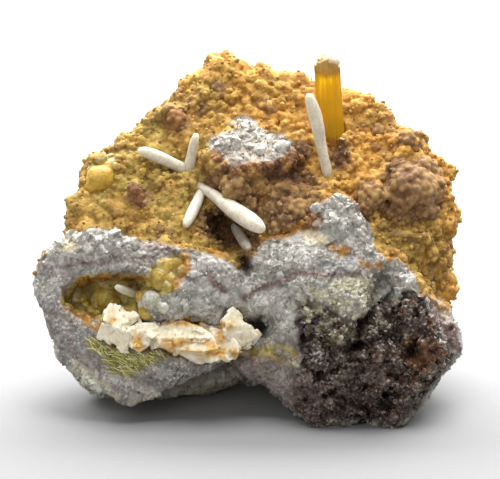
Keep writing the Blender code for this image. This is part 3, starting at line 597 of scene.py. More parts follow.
def rockZones(points, normals):
    right, up, away = toPage(points)
    wobble = noiseAt(points, 2.2, 1)
    ripple = noiseAt(points, 0.8, 2)
    facing = normals @ np.array(awayAxis)           # above 0 on the side that is turned from the view
    hidden = softStep(facing + 0.25 * wobble, 0.02, 0.30) * softStep(away, 6, 10)
    hidden = np.maximum(hidden, softStep(away + wobble, 13, 16) * softStep(16 - up, 0, 3))
    front = 1 - hidden
    right = right + 0.22 * wobble + 0.22 * ripple
    up = up + 0.22 * noiseAt(points, 2.0, 3) + 0.20 * noiseAt(points, 0.7, 4)
    line = np.interp(right, *zip(*ledgeLine))
    below = softStep(line - up, -0.2, 0.2)

    def patch(kind, soft=0.25):
        return within(right, up, kind, soft) * front

    dark = patch("dark", 0.6)
    # the upper quartz shelf is thinned in patches, so the darker, warmer coat shows through: painted shade on its
    # top, which faces the lamp above
    quartz = patch("quartz") * (1 - 0.28 * blob(right, up, (0.2, 29.8), (5.6, 3.2)) * softStep(ripple, -0.8, 0.4))
    softWhite = patch("softWhite", 0.8)
    olive = patch("olive", 0.3)
    # the olive of the lower middle is broken up by the grey
    greyed = blob(right, up, (2.2, 7.8), (5.0, 2.2)) * softStep(ripple + 0.5 * wobble, -0.35, 0.25)
    olive = olive * (1 - 0.9 * greyed)
    violet = np.maximum(patch("violet", 0.3), 0.6 * patch("rim", 0.8) * softStep(ripple, -0.5, 0.5))
    violet = np.maximum(violet, 0.38 * blob(right, up, (0.2, 29.8), (5.6, 3.2), 0, 0.3) * quartz)
    violet = np.maximum(violet, 0.65 * blob(right, up, (1.5, 4.5), (5.5, 3.2), -25, 0.4) * front)
    sugar = patch("sugar", 0.5) * softStep(ripple + 0.5 * wobble + 0.06 * (up - 15), -0.45, 0.15)
    brown = patch("brown", 0.7)
    brown = np.maximum(brown, softStep(wobble * 1.3 + ripple, 0.35, 0.85) * 0.6 * (1 - below) * front)
    stain = patch("stain", 0.3) * softStep(ripple, -0.5, 0.0)
    edge = np.exp(-((line - up + 0.1) / 0.30) ** 2) * softStep(right, -7, -4) * front
    stain = np.maximum(stain, edge * softStep(ripple + wobble, -0.3, 0.3) * 0.9)
    stain = np.maximum(stain, blob(right, up, (-6.8, 8.0), (8.6, 0.8), -6, 0.5) * softStep(ripple, -0.2, 0.3) * 0.6)
    rust = patch("rust", 0.3) * softStep(ripple, -0.7, 0.0)
    rust = np.maximum(rust, dark * softStep(right, 10, 15) * softStep(0.8 * wobble + ripple, 0.0, 0.6) * 0.75)
    crust = patch("crust", 0.5)
    ledge = below * front * (1 - crust)
    oliveCorner = blob(right, up, (16.0, 18.0), (4.5, 5.0), 0, 0.4)
    warmth = softStep(right + 0.6 * up + 2 * wobble, 8, 24) * (1 - 0.85 * oliveCorner)
    return {
        "zoneLedge": (ledge, np.maximum(quartz, 0.55 * softWhite), dark),
        "zoneCrust": (olive, patch("fibre", 0.5), np.maximum(hidden, crust)),
        "zoneStain": (brown, stain, rust),
        "zoneTint": (violet, patch("cream", 0.4), sugar),
        # zoneDepth's first channel is painted shade
        "zoneDepth": (np.maximum(patch("shade", 0.8), 0.5 * patch("vugShade", 0.5)), patch("rim", 0.6), warmth),
        "zonePits": (patch("pits", 0.35), dark * (1 - sugar), hidden * (1 - crust)),
    }


def treeOf(seeds):
    tree = KDTree(len(seeds))
    for index, seed in enumerate(seeds):
        tree.insert(seed, index)
    tree.balance()
    return tree


def evenSeeds(points, weights, spacing):
    # surface points about one spacing apart, wherever the weights allow them
    picked = dice.permutation(np.flatnonzero(dice.random(len(points)) < weights))
    cells = np.floor(points[picked] / (spacing * mm)).astype(int)
    _, first = np.unique(cells, axis=0, return_index=True)
    seeds = picked[dice.permutation(first)]
    tree = treeOf(points[seeds])
    kept = np.ones(len(seeds), bool)
    for order, seed in enumerate(seeds):
        near = [index for _, index, _ in tree.find_range(points[seed], 0.62 * spacing * mm) if index != order]
        if any(kept[index] and index < order for index in near):
            kept[order] = False
    return seeds[kept]


def swellUp(form, weights, spacing, radius, sunk):
    # rounded caps round the seeds; sunk is the share of each cap's radius that stays under the skin
    points, normals = pointsOf(form), normalsOf(form)
    where = np.flatnonzero(weights > 0.02)
    seeds = points[evenSeeds(points, weights, spacing)]
    radii = dice.uniform(0.8, 1.2, len(seeds)) * radius * mm
    tree = treeOf(seeds)
    height = np.zeros(len(where))
    owner = np.zeros(len(where), int)
    for number, point in enumerate(points[where]):
        best = 0.0
        for _, index, distance in tree.find_n(point, 4):
            if distance < radii[index]:
                rise = math.sqrt(radii[index] ** 2 - distance ** 2) - sunk * radii[index]
                if rise > best:
                    best, owner[number] = rise, index
        height[number] = best
    typical = (1 - sunk) * radius * mm
    points[where] += normals[where] * ((height - 0.45 * typical) * weights[where])[:, None]
    setPoints(form, points)
    tones = dice.random(len(seeds))
    # the low ground between the caps is kept for painted shade
    creviceShade, tone = np.zeros(len(points)), np.full(len(points), 0.5)
    creviceShade[where] = (1 - softStep(height / typical, 0.0, 0.55)) * np.clip(weights[where], 0, 1)
    tone[where] = tones[owner]
    return creviceShade, tone


def breakUp(form, weights, spacing, tilt, step):
    # broken facets: round every seed lies a flat face with a tilt and a level of its own
    points, normals = pointsOf(form), normalsOf(form)
    where = np.flatnonzero(weights > 0.02)
    seeds = points[evenSeeds(points, weights, spacing)]
    tilts = dice.normal(0, tilt, (len(seeds), 3))
    levels = dice.normal(0, step * mm, len(seeds))
    tree = treeOf(seeds)
    nearest = np.array([tree.find(point)[1] for point in points[where]])
    height = ((points[where] - seeds[nearest]) * tilts[nearest]).sum(axis=1) + levels[nearest]
    height = np.clip(height, -2.5 * step * mm, 2.5 * step * mm)
    points[where] += normals[where] * (height * weights[where])[:, None]
    setPoints(form, points)
    tones = dice.random(len(seeds))
    tone = np.full(len(points), 0.5)
    tone[where] = tones[nearest]
    return tone


def sinkIn(form, weights, depth):
    points = pointsOf(form)
    setPoints(form, points + np.outer(weights * depth * mm, awayAxis))


def paint(piece, name, columns):
    layer = piece.data.color_attributes.new(name, "FLOAT_COLOR", "POINT")
    colours = np.stack([*columns, np.ones(len(columns[0]))], axis=1)
    layer.data.foreach_set("color", np.clip(colours, 0, 1).astype(np.float32).ravel())


def makeRock():
    form = rockForm()
    zones = rockZones(pointsOf(form), normalsOf(form))
    ledge, quartz, dark = zones["zoneLedge"]
    olive, fibre, pale = zones["zoneCrust"]
    right, up, away = toPage(pointsOf(form))
    ledge = ledge * (1 - dark)
    coated = np.clip(1 - ledge - quartz - dark - pale - olive, 0, 1)
    brown = zones["zoneStain"][0]
    calm = 0.6 * softStep(-5 - right, 0, 3) * softStep(26 - up, 0, 3)       # the smoother skin at the left
    calm = np.maximum(calm, 0.6 * softStep(noiseAt(pointsOf(form), 2.5, 6), -0.05, 0.35) * (1 - brown))
    broken = np.clip(ledge + quartz - olive, 0, 1)
    sinkIn(form, zones["zoneDepth"][0], rock["sunk"]["shade"])
    sinkIn(form, zones["zonePits"][0], rock["sunk"]["pit"])
    swellUp(form, coated * 0.9, *rock["lumps"])
    creviceShade, tone = swellUp(form, coated * (1 - calm), *rock["knobs"])
    fineCreviceShade, fineTone = swellUp(form, coated * (1 - 0.6 * calm) * 0.7, *rock["beads"])
    wetCreviceShade, _ = swellUp(form, olive, *rock["wax"])
    breakUp(form, broken, *rock["ledgePlates"])
    breakUp(form, quartz, *rock["quartzPlates"])
    chipTone = breakUp(form, broken, *rock["ledgeChips"])
    hollows = dark * softStep(noiseAt(pointsOf(form), 1.4, 14), 0.10, 0.50)
    sinkIn(form, hollows, rock["sunk"]["hollow"])
    breakUp(form, dark, *rock["darkLumps"])
    darkTone = breakUp(form, dark, *rock["darkChips"])
    breakUp(form, pale, *rock["paleLumps"])
    paleTone = breakUp(form, pale, *rock["paleChips"])
    # what would go under the floor is flat on it, as the specimen stands on its feet
    points = pointsOf(form)
    points[:, 2] = np.maximum(points[:, 2], 0)
    setPoints(form, points)
    zones = rockZones(points, normalsOf(form))
    # the relief's first channel is painted shade: darker in the crevices between caps and in the dark block's hollows
    zones["relief"] = (
        np.maximum.reduce([creviceShade, 0.5 * fineCreviceShade, 0.8 * wetCreviceShade, hollows]),
        0.6 * tone + 0.4 * fineTone,
        np.where(dark > 0.5, darkTone, np.where(pale > 0.5, paleTone, chipTone)))
    for name, columns in zones.items():
        paint(form, name, columns)
    print("rock broken up", len(form.data.vertices), "points")
    return form, zones


def cutPiece(form, name, planes):
    # a copy of the rock that keeps one side of each plane, closed where it is cut
    piece = form.copy()
    piece.data = form.data.copy()
    piece.name = piece.data.name = name
    bpy.context.scene.collection.objects.link(piece)
    for point, normal, keepOuter in planes:
        reach = 0.1 if keepOuter else -0.1
        deselectAll()
        bpy.ops.mesh.primitive_cube_add(size=0.2, location=point + normal * reach,
                                        rotation=normal.to_track_quat("Z", "Y").to_euler())
        block = bpy.context.object
        applyModifier(piece, "BOOLEAN", "cut", object=block, operation="INTERSECT", solver="MANIFOLD")
        bpy.data.objects.remove(block)
        # the flat of the cut stays crisp against the skin
        flat = np.abs((pointsOf(piece) - np.array(point)) @ np.array(normal)) < 1e-7
        ends = np.empty(len(piece.data.edges) * 2, int)
        piece.data.edges.foreach_get("vertices", ends)
        sharp = flat[ends.reshape(-1, 2)].all(axis=1)
        piece.data.edges.foreach_set("use_edge_sharp", sharp)
    return piece


def repaint(piece, tree):
    # the whole rock's zones again, each point as the nearest one there
    nearest = np.array([tree.find(point)[1] for point in pointsOf(piece)])
    for name, columns in wholeZones.items():
        if name in piece.data.color_attributes:
            piece.data.color_attributes.remove(piece.data.color_attributes[name])
        paint(piece, name, [column[nearest] for column in columns])


wholeRock, wholeZones = makeRock()
rockLook = rockMaterial()
upAxis = (toFrame(0, 1, 0) - toFrame(0, 0, 0)).normalized()
backCut = (toFrame(0, 0, rock["cuts"]["back"]), awayAxis)
tiltedUp = (upAxis + rock["cutTilt"] * awayAxis).normalized()
faceCut = (toFrame(0, rock["cuts"]["upper"], 3), tiltedUp)
ledgeCut = (toFrame(0, rock["cuts"]["upper"], 3) + tiltedUp * rock["cutOverlap"] * mm, tiltedUp)
pieces = {
    "limonite_face": [(*backCut, False), (*faceCut, True)],
    "quartz_ledge": [(*backCut, False), (*ledgeCut, False)],
    "pale_back": [(*backCut, True)],
}
wholeTree = treeOf(pointsOf(wholeRock))
for name, planes in pieces.items():
    part = cutPiece(wholeRock, name, planes)
    if name == "pale_back":
        applyModifier(part, "DECIMATE", "thinOut", ratio=rock["backShare"])
        takeUp(part)
        bpy.ops.object.mode_set(mode="EDIT")
        bpy.ops.mesh.select_all(action="SELECT")        # merge the slivers that thinning leaves
        bpy.ops.mesh.remove_doubles(threshold=0.005 * mm)
        bpy.ops.mesh.dissolve_degenerate(threshold=0.003 * mm)
        bpy.ops.object.mode_set(mode="OBJECT")
        part.data.validate()
    repaint(part, wholeTree)
    finishPiece(part, "rock", rockLook, "limonite_rock")
    print(name, sum(len(p.vertices) - 2 for p in part.data.polygons), "triangles")


# Grains: loose beads and sugary crystals on the rock, each bedded in its skin.
grains = {
    # kind: how far apart, radius from and to, share of the radius that is sunk
    "limonite_beads": {"spacing": 0.70, "radii": (0.14, 0.30), "sunk": 0.25, "flat": 0.85},
    "quartz_grains": {"spacing": 0.50, "radii": (0.12, 0.26), "sunk": 0.20, "flat": 0.7},
    "sugar_grains": {"spacing": 0.42, "radii": (0.13, 0.30), "sunk": 0.15, "flat": 0.9},
}


def modelOf(kind):
    # the one grain that is copied
    deselectAll()
    if kind == "limonite_beads":
        bpy.ops.mesh.primitive_uv_sphere_add(segments=7, ring_count=5, radius=1)
    elif kind == "quartz_grains":
        bpy.ops.mesh.primitive_cone_add(vertices=6, radius1=0.6, radius2=0.52, depth=1.1)
        bpy.ops.object.mode_set(mode="EDIT")
        bpy.ops.mesh.select_all(action="DESELECT")
        bpy.ops.object.mode_set(mode="OBJECT")
        for face in bpy.context.object.data.polygons:
            face.select = face.center.z > 0.5
        bpy.ops.object.mode_set(mode="EDIT")
        bpy.ops.mesh.select_mode(type="FACE")
        bpy.ops.mesh.extrude_region_move(TRANSFORM_OT_translate={"value": (0, 0, 0.45)})
        bpy.ops.transform.resize(value=(0.15, 0.15, 1), center_override=(0, 0, 1))
        bpy.ops.object.mode_set(mode="OBJECT")
    else:
        bpy.ops.mesh.primitive_ico_sphere_add(subdivisions=1, radius=1)
    model = bpy.context.object
    points = pointsOf(model)
    faces = [tuple(face.vertices) for face in model.data.polygons]
    bpy.data.objects.remove(model)
    return points, faces


def scatter(kind, weights, skin):
    points, normals, zones = skin
    settings = grains[kind]
    seeds = evenSeeds(points, weights * (points[:, 2] > 0.5 * mm), settings["spacing"])
    model, faces = modelOf(kind)
    low, high = settings["radii"]
    corners, loops = [], []
    for order, seed in enumerate(seeds):
        radius = (low + (high - low) * dice.random() ** 2) * mm
        lean = Vector(normals[seed]) + Vector(dice.normal(0, 0.45, 3))
        turn = (lean.to_track_quat("Z", "Y").to_matrix() @ Matrix.Rotation(dice.uniform(0, 6.28), 3, "Z"))
        size = radius * np.array([1, dice.uniform(settings["flat"], 1), dice.uniform(settings["flat"], 1.1)])
        middle = points[seed] + normals[seed] * radius * (1 - 2 * settings["sunk"] - 0.6)
        corners.append(model * size @ np.array(turn).T + middle)
        loops.extend(tuple(corner + order * len(model) for corner in face) for face in faces)
    piece = meshPiece(kind, np.concatenate(corners), loops)
    for name, columns in zones.items():
        values = [np.repeat(column[seeds], len(model)) for column in columns]
        if name == "relief":
            tone = np.repeat(dice.random(len(seeds)), len(model))
            values = [np.zeros(len(tone)), tone, tone]
        paint(piece, name, values)
    finishPiece(piece, "rock", rockLook, smooth=kind == "limonite_beads")
    print(kind, len(seeds), "grains", sum(len(face) - 2 for face in faces) * len(seeds), "triangles")


def scatterGrains():
    skin = pointsOf(wholeRock), normalsOf(wholeRock), wholeZones
    ledge, quartz, dark = wholeZones["zoneLedge"]
    olive, fibre, pale = wholeZones["zoneCrust"]
    sugar = wholeZones["zoneTint"][2]
    coated = np.clip(1 - ledge - quartz - dark - pale - olive, 0, 1)
    patches = softStep(noiseAt(skin[0], 3.0, 5), -0.25, 0.25)
    scatter("limonite_beads", coated * (0.15 + 0.5 * patches) * 0.1, skin)
    scatter("quartz_grains", quartz * 0.05 + ledge * 0.008, skin)
    scatter("sugar_grains", dark * 0.02 * patches + sugar * 0.09 + pale * 0.01, skin)


scatterGrains()


# Small growths, each set on the rock where the line of view meets it.
growths = {
    # right, up, radius, how far it is pulled out of the skin, and what makes it wider or taller
    "olive_domes": (
        (-15.2, 13.6, 1.25, 0.1, 1.05, 0.95), (-14.3, 13.0, 0.90, 0.0), (-16.6, 12.3, 0.55, 0.1),
        (-17.2, 12.8, 0.45, 0.1), (-16.0, 12.0, 0.42, 0.1), (-17.6, 13.4, 0.80, -0.3),
        (-9.3, 15.6, 1.20, -0.2, 0.9, 1.2), (-8.8, 16.7, 1.15, -0.2, 1.0, 1.1), (-7.6, 17.3, 0.95, -0.2, 1.2, 0.9),
        (-8.2, 15.4, 0.85, -0.1, 1, 1.1), (-8.4, 14.6, 0.60, -0.1), (-10.3, 15.2, 0.60, -0.1),
        (-12.9, 12.2, 0.75, 0.0), (-13.9, 11.9, 0.60, 0.0), (-11.9, 12.3, 0.80, -0.1),
        (-10.8, 12.0, 0.75, 0.0, 1.1, 1), (-11.3, 13.6, 0.75, -0.2),
    ),
    "amber_domes": (
        (-15.7, 26.1, 1.40, 0.2, 1.1, 1.05), (-14.9, 27.2, 0.80, 0.0), (-16.6, 25.2, 0.70, 0.1)),
    "grey_domes": ((-10.1, 13.3, 1.15, 0.1, 1.15, 0.95), (-9.0, 12.6, 0.7, 0.0), (-11.2, 12.9, 0.6, 0.1)),
    # translucent crusts of quartz crystals along the ledge's crest, on the spire and on the upper shelf
    "quartz_druse": (
        (-19.6, 18.9, 0.9, -0.34, 1.1, 1), (-18.6, 19.6, 0.8, -0.34, 1.1, 1), (-17.6, 19.3, 1.0, -0.34, 1.1, 1),
        (-16.4, 19.9, 0.9, -0.34, 1.1, 1), (-15.3, 19.2, 1.1, -0.34, 1.1, 1), (-14.2, 19.9, 0.8, -0.34, 1.1, 1),
        (-13.4, 19.2, 0.9, -0.34, 1.1, 1), (-12.4, 19.0, 0.7, -0.34, 1.1, 1), (-16.6, 18.5, 0.8, -0.34, 1.1, 1),
        (-18.3, 18.3, 0.7, -0.34, 1.1, 1), (-20.2, 18.1, 0.6, -0.34, 1.1, 1), (-14.6, 18.4, 0.7, -0.34, 1.1, 1),
        (-4.8, 16.6, 0.9, -0.2, 0.8, 1.3), (-3.6, 15.6, 0.8, -0.4, 1.1, 1), (-5.2, 14.9, 0.7, -0.4, 1.1, 1),
        (-6.2, 14.2, 0.7, -0.34, 1.1, 1), (-5.2, 13.2, 0.8, -0.34, 1.1, 1), (-6.6, 12.6, 0.7, -0.2, 1.1, 1),
        (-4.2, 12.3, 0.6, -0.34, 1.1, 1), (-7.6, 13.2, 0.6, -0.2, 1.1, 1), (-7.9, 12.0, 0.7, -0.2, 1.1, 1),
        (1.8, 18.6, 0.9, -0.4, 1.1, 1), (3.2, 18.2, 1.0, -0.4, 1.1, 1), (4.4, 18.4, 0.7, -0.4, 1.1, 1),
        (1.9, 17.1, 0.8, -0.4, 1.1, 1), (3.6, 17.0, 0.7, -0.4, 1.1, 1), (2.2, 13.2, 0.9, -0.4, 1.1, 1),
        (3.4, 12.2, 0.9, -0.4, 1.1, 1), (2.0, 11.4, 0.7, -0.4, 1.1, 1), (3.8, 10.6, 0.7, -0.4, 1.1, 1),
        (9.2, 23.5, 0.6, 0.0, 0.8, 1.5), (10.0, 22.5, 0.8, -0.1, 0.8, 1.4), (10.9, 21.3, 0.9, -0.1, 0.9, 1.2),
        (11.5, 20.0, 0.9, -0.1, 0.9, 1.2), (10.3, 19.9, 0.7, -0.34, 1.1, 1), (12.0, 18.6, 0.7, -0.34, 1.1, 1),
        (8.5, 21.7, 0.7, -0.34, 1.1, 1), (7.0, 22.8, 0.5, 0.0, 0.8, 1.3),
        (-1.3, 31.8, 0.5, 0.0, 1.3, 0.8), (-0.9, 30.7, 0.7, -0.34, 1.1, 1), (0.5, 30.2, 0.9, -0.34, 1.1, 1),
        (1.9, 29.7, 0.9, -0.34, 1.1, 1), (-2.1, 29.5, 0.9, -0.34, 1.1, 1), (-0.4, 29.0, 0.9, -0.34, 1.1, 1),
        (1.2, 28.6, 0.8, -0.34, 1.1, 1), (3.2, 29.3, 0.8, -0.34, 1.1, 1), (-3.3, 29.4, 0.6, -0.34, 1.1, 1),
    ),
    "red_beads": (
        (-11.7, 14.6, 0.17, 0.1), (-11.35, 14.7, 0.2, 0.1), (-11.9, 14.9, 0.14, 0.1),
        (-15.3, 15.5, 0.24, 0.1), (-15.0, 15.7, 0.18, 0.1), (-11.6, 15.7, 0.18, 0.1),
        (-12.9, 21.0, 0.24, 0.1), (-1.9, 19.6, 0.30, 0.1), (-0.8, 19.4, 0.26, 0.1),
        (-4.1, 20.6, 0.25, 0.1), (-17.4, 21.4, 0.15, 0.1), (-14.2, 21.3, 0.16, 0.1),
    ),
}
skinTree = BVHTree.FromObject(wholeRock, bpy.context.evaluated_depsgraph_get())


def skinAt(right, up):
    # where the line of view at this place of the page first meets the rock
    return skinTree.ray_cast(toFrame(right, up, -30), awayAxis)[0]


def growDomes(kind):
    parts = []
    upAlong = Vector((0, leanSine, leanCosine))
    for right, up, radius, proud, *shape in growths[kind]:
        wide, tall = shape or (1, 1)
        centre = skinAt(right, up) + awayAxis * (0.55 * radius - proud) * mm
        deselectAll()
        bpy.ops.mesh.primitive_ico_sphere_add(
            subdivisions=4 if radius > 0.3 else 3, radius=radius * mm, location=centre)
        bpy.ops.object.transform_apply()
        dome = bpy.context.object
        for vertex in dome.data.vertices:
            offset = vertex.co - centre
            offset += upAlong * offset.dot(upAlong) * (tall - 1)
            offset.x *= wide
            vertex.co = centre + offset
        parts.append(dome)
    piece = joinAll(kind, parts)
    if kind == "quartz_druse":
        applyModifier(piece, "REMESH", "growTogether", mode="VOXEL", voxel_size=0.125 * mm)
        applyModifier(piece, "SMOOTH", "soften", factor=0.5, iterations=2)
        every = np.ones(len(piece.data.vertices))
        breakUp(piece, every, 0.9, 0.42, 0.15)
        breakUp(piece, every, 0.45, 0.35, 0.04)
    elif kind != "red_beads":
        applyModifier(piece, "REMESH", "growTogether", mode="VOXEL", voxel_size=0.11 * mm)
        applyModifier(piece, "SMOOTH", "soften", factor=0.5, iterations=5)
        roughen(piece, (0.10, 0.9, 21), (0.04, 0.3, 22))
    return piece


growthLooks = {
    # the finish's name and tones, its roughness and how waxy it is
    "olive_domes": ("olive_wax", ((0.30, 0.14, 0.016), (0.42, 0.29, 0.045), (0.58, 0.47, 0.13)), 0.32, 0.4),
    "amber_domes": ("amber_wax", ((0.34, 0.18, 0.02), (0.52, 0.31, 0.035), (0.60, 0.40, 0.07)), 0.50, 0.1),
    "grey_domes": ("grey_wax", ((0.22, 0.20, 0.10), (0.42, 0.40, 0.32), (0.66, 0.65, 0.60)), 0.25, 0.3),
    "red_beads": ("red_wax", ((0.10, 0.03, 0.015), (0.24, 0.09, 0.04)), 0.30, 0.0),
}


def domeMaterial(name, tones, roughness, waxy):
    n = Nodes(name)
    cloud = n.mix(0.5, n.noise(0.9, 3), n.noise(0.25, 3))
    n.feed(color=n.spread(cloud, tones, 0.34, 0.66), roughness=roughness, subsurface=waxy,
           radius=(0.0010, 0.0008, 0.0003), scatterScale=1.0, normal=n.bump(n.noise(0.3, 4), 0.35, 0.06))
    return n.material


def makeGrowths():
    looks = {kind: domeMaterial(*look) for kind, look in growthLooks.items()}
    n = Nodes("quartz_druse_look")
    cloud = n.mix(0.5, n.noise(1.1, 3), n.noise(0.3, 4))
    n.feed(color=n.ramp(cloud, (0.36, (0.42, 0.39, 0.33)), (0.50, (0.60, 0.57, 0.50)), (0.64, (0.80, 0.78, 0.71))),
           roughness=n.ramp(n.noise(0.35), (0.40, 0.12), (0.62, 0.5)), transmission=0.35, ior=1.55,
           normal=n.bump(n.noise(0.3, 3), 0.2, 0.04, n.facets(0.35, 0.25)))
    looks["quartz_druse"] = n.material
    for kind, look in looks.items():
        finishPiece(growDomes(kind), "rock", look)
    print("growths set")


makeGrowths()


# Cauliflower heads of brown limonite, each a dome with knobs all over its near side.
heads = {
    # right, up, radius, how far it is pulled out of the skin
    "places": (
        (17.0, 24.9, 2.45, 0.0), (18.3, 26.7, 1.6, -0.3), (15.3, 22.8, 1.45, -0.3), (18.4, 22.9, 1.3, -0.3),
        (12.8, 24.2, 1.45, 0.0), (12.1, 22.9, 0.9, 0.0), (16.8, 29.8, 1.35, -0.2), (-7.8, 32.3, 1.15, 0.1),
        (-1.4, 25.2, 1.7, -0.4), (1.0, 24.0, 1.5, -0.3),
        (4.6, 22.6, 1.5, -0.3), (6.6, 22.9, 1.2, -0.2), (5.4, 29.0, 1.2, -0.4), (-3.6, 35.4, 1.3, -0.4),
        (13.6, 30.9, 1.1, -0.4), (1.9, 33.6, 1.2, -0.5), (-0.5, 22.6, 1.2, -0.3), (19.3, 25.2, 1.2, -0.4),
    ),
    "knob": (0.20, 0.42),       # for a head of 1 mm, more on a bigger one
    "knobs": 18,                # for a head of 1 mm
    "reddish": (7, 9),          # the heads, counted from 0, that are redder than the rest
    "ochreTone": (0.42, 0.25, 0.08),
    "redTone": (0.34, 0.15, 0.045),
    "grooveShade": (0.34, 0.22, 0.15),
}


goldenAngle = 2.39996       # turns each knob well away from the last, as seeds lie in a sunflower


def makeHeads():
    parts, middles, radii = [], [], []
    for right, up, radius, proud in heads["places"]:
        middle = skinAt(right, up) + awayAxis * (0.55 * radius - proud) * mm
        count = int(heads["knobs"] * radius ** 1.2)
        for order in range(count):
            # evenly turned places over the side that is seen
            height = 1 - (order + 0.5) / count * 1.25
            angle = order * goldenAngle + chance.uniform(-0.3, 0.3)
            flat = math.sqrt(max(0, 1 - height * height))
            direction = (-awayAxis * height + Vector((1, 0, 0)) * flat * math.cos(angle)
                         + Vector((0, leanSine, leanCosine)) * flat * math.sin(angle))
            knob = chance.uniform(*heads["knob"]) * radius ** 0.5
            deselectAll()
            bpy.ops.mesh.primitive_ico_sphere_add(subdivisions=3, radius=knob * mm,
                                                  location=middle + direction * (radius - 0.4 * knob) * mm)
            parts.append(bpy.context.object)
        deselectAll()
        bpy.ops.mesh.primitive_ico_sphere_add(subdivisions=4, radius=(radius - 0.12) * mm, location=middle)
        parts.append(bpy.context.object)
        middles.append(np.array(middle))
        radii.append(radius * mm)
    piece = joinAll("brown_heads", parts)
    bpy.ops.object.transform_apply()
    applyModifier(piece, "REMESH", "growTogether", mode="VOXEL", voxel_size=0.14 * mm)
    applyModifier(piece, "SMOOTH", "soften", factor=0.5, iterations=2)
    points = pointsOf(piece)
    # the grooves between the knobs are darker: painted shade
    rises = np.array([radius - np.linalg.norm(points - middle, axis=1) for middle, radius in zip(middles, radii)])
    groove = softStep(rises.max(axis=0) / mm, -0.22, 0.10)
    reddish = np.isin(rises.argmax(axis=0), heads["reddish"]).astype(float)
    roughen(piece, (0.06, 0.5, 31), (0.03, 0.25, 32))
    paint(piece, "relief", [groove, reddish, groove])
    n = Nodes("brown_limonite")
    cloud = n.mix(0.5, n.noise(1.0, 4), n.noise(0.3, 4))
    brown = n.spread(cloud, rockColours["brown"], 0.34, 0.66)
    brown = n.mix(n.ramp(n.noise(2.6, 3), (0.42, 0.0), (0.62, 0.7)), brown, heads["ochreTone"])
    brown = n.mix(n.maths("MULTIPLY", n.attribute("relief")[1], 0.75), brown, heads["redTone"])
    # painted shade in the grooves between the knobs
    brown = n.mix(n.maths("MULTIPLY", n.attribute("relief")[0], 0.7), brown, heads["grooveShade"], "MULTIPLY")
    n.feed(color=brown, roughness=0.85, normal=n.bump(n.noise(0.25, 4), 0.4, 0.08))
    finishPiece(piece, "rock", n.material)
    print("brown heads", len(piece.data.polygons), "faces")


makeHeads()


# Rusty chips: the angular red-brown block at the left, and the iron rim under the upper quartz shelf.
rustyChips = {
    # right, up, size, how far it is pulled out of the skin
    "places": (
        (-11.9, 24.3, 1.5, 0.45), (-11.2, 23.5, 1.1, 0.25), (-12.3, 25.1, 0.8, 0.2), (-12.1, 23.4, 0.8, 0.1),
        (-3.6, 28.1, 0.7, 0.1), (-2.6, 27.3, 0.6, 0.1), (-1.4, 26.9, 0.8, 0.1), (-0.2, 27.2, 0.6, 0.1),
        (1.0, 27.2, 0.7, 0.1), (2.2, 27.4, 0.8, 0.1), (3.3, 27.9, 0.9, 0.1), (4.4, 28.5, 1.0, 0.1),
        (5.2, 29.4, 0.8, 0.1), (5.3, 28.3, 1.0, 0.1), (4.6, 27.6, 0.9, 0.0), (6.8, 21.9, 0.9, 0.1),
        (6.4, 21.4, 0.7, 0.1),
    ),
    "tones": ((0.08, 0.033, 0.014), (0.21, 0.085, 0.030), (0.37, 0.18, 0.055)),
}


def makeChips():
    parts = []
    for right, up, size, proud in rustyChips["places"]:
        for step in range(3):
            spot = skinAt(right, up) + awayAxis * (0.3 * size - proud) * mm
            spot += Vector((chance.gauss(0, 0.22), 0, chance.gauss(0, 0.22))) * size * mm
            deselectAll()
            bpy.ops.mesh.primitive_cube_add(
                size=size * chance.uniform(0.5, 0.75) * mm, location=spot,
                rotation=[chance.uniform(0, 3) for axis in range(3)])
            bpy.ops.object.mode_set(mode="EDIT")
            bpy.ops.mesh.bevel(offset=0.12 * size * mm, segments=2)
            bpy.ops.object.mode_set(mode="OBJECT")
            bpy.ops.object.transform_apply()
            parts.append(bpy.context.object)
    piece = joinAll("rusty_chips", parts)
    applyModifier(piece, "REMESH", "growTogether", mode="VOXEL", voxel_size=0.09 * mm)
    roughen(piece, (0.06, 0.5, 41), (0.03, 0.22, 42))
    n = Nodes("rusty_chip_look")
    cloud = n.mix(0.5, n.noise(0.7, 4), n.noise(0.25, 4))
    n.feed(color=n.spread(cloud, rustyChips["tones"], 0.36, 0.64), roughness=0.75,
           normal=n.bump(n.noise(0.2, 4), 0.4, 0.06))
    finishPiece(piece, "rock", n.material)
    print("rusty chips", len(piece.data.polygons), "faces")


makeChips()


# Yellow-green fibres that run down under the white blades, and the small loose needles.
fibres = {
    "count": 190,
    "length": (0.7, 2.0),
    "width": (0.06, 0.15),
    "fall": -0.55,      # the way they run, in radians from the page's right
    "needles": (((5.9, 23.95), (6.1, 24.6), 0.16), ((9.6, 29.9), (9.9, 30.9), 0.5), ((9.3, 30.4), (9.9, 30.2), 0.4),
                ((-5.3, 29.0), (-4.9, 29.1), 0.35), ((9.9, 28.6), (10.1, 29.0), 0.3)),
}


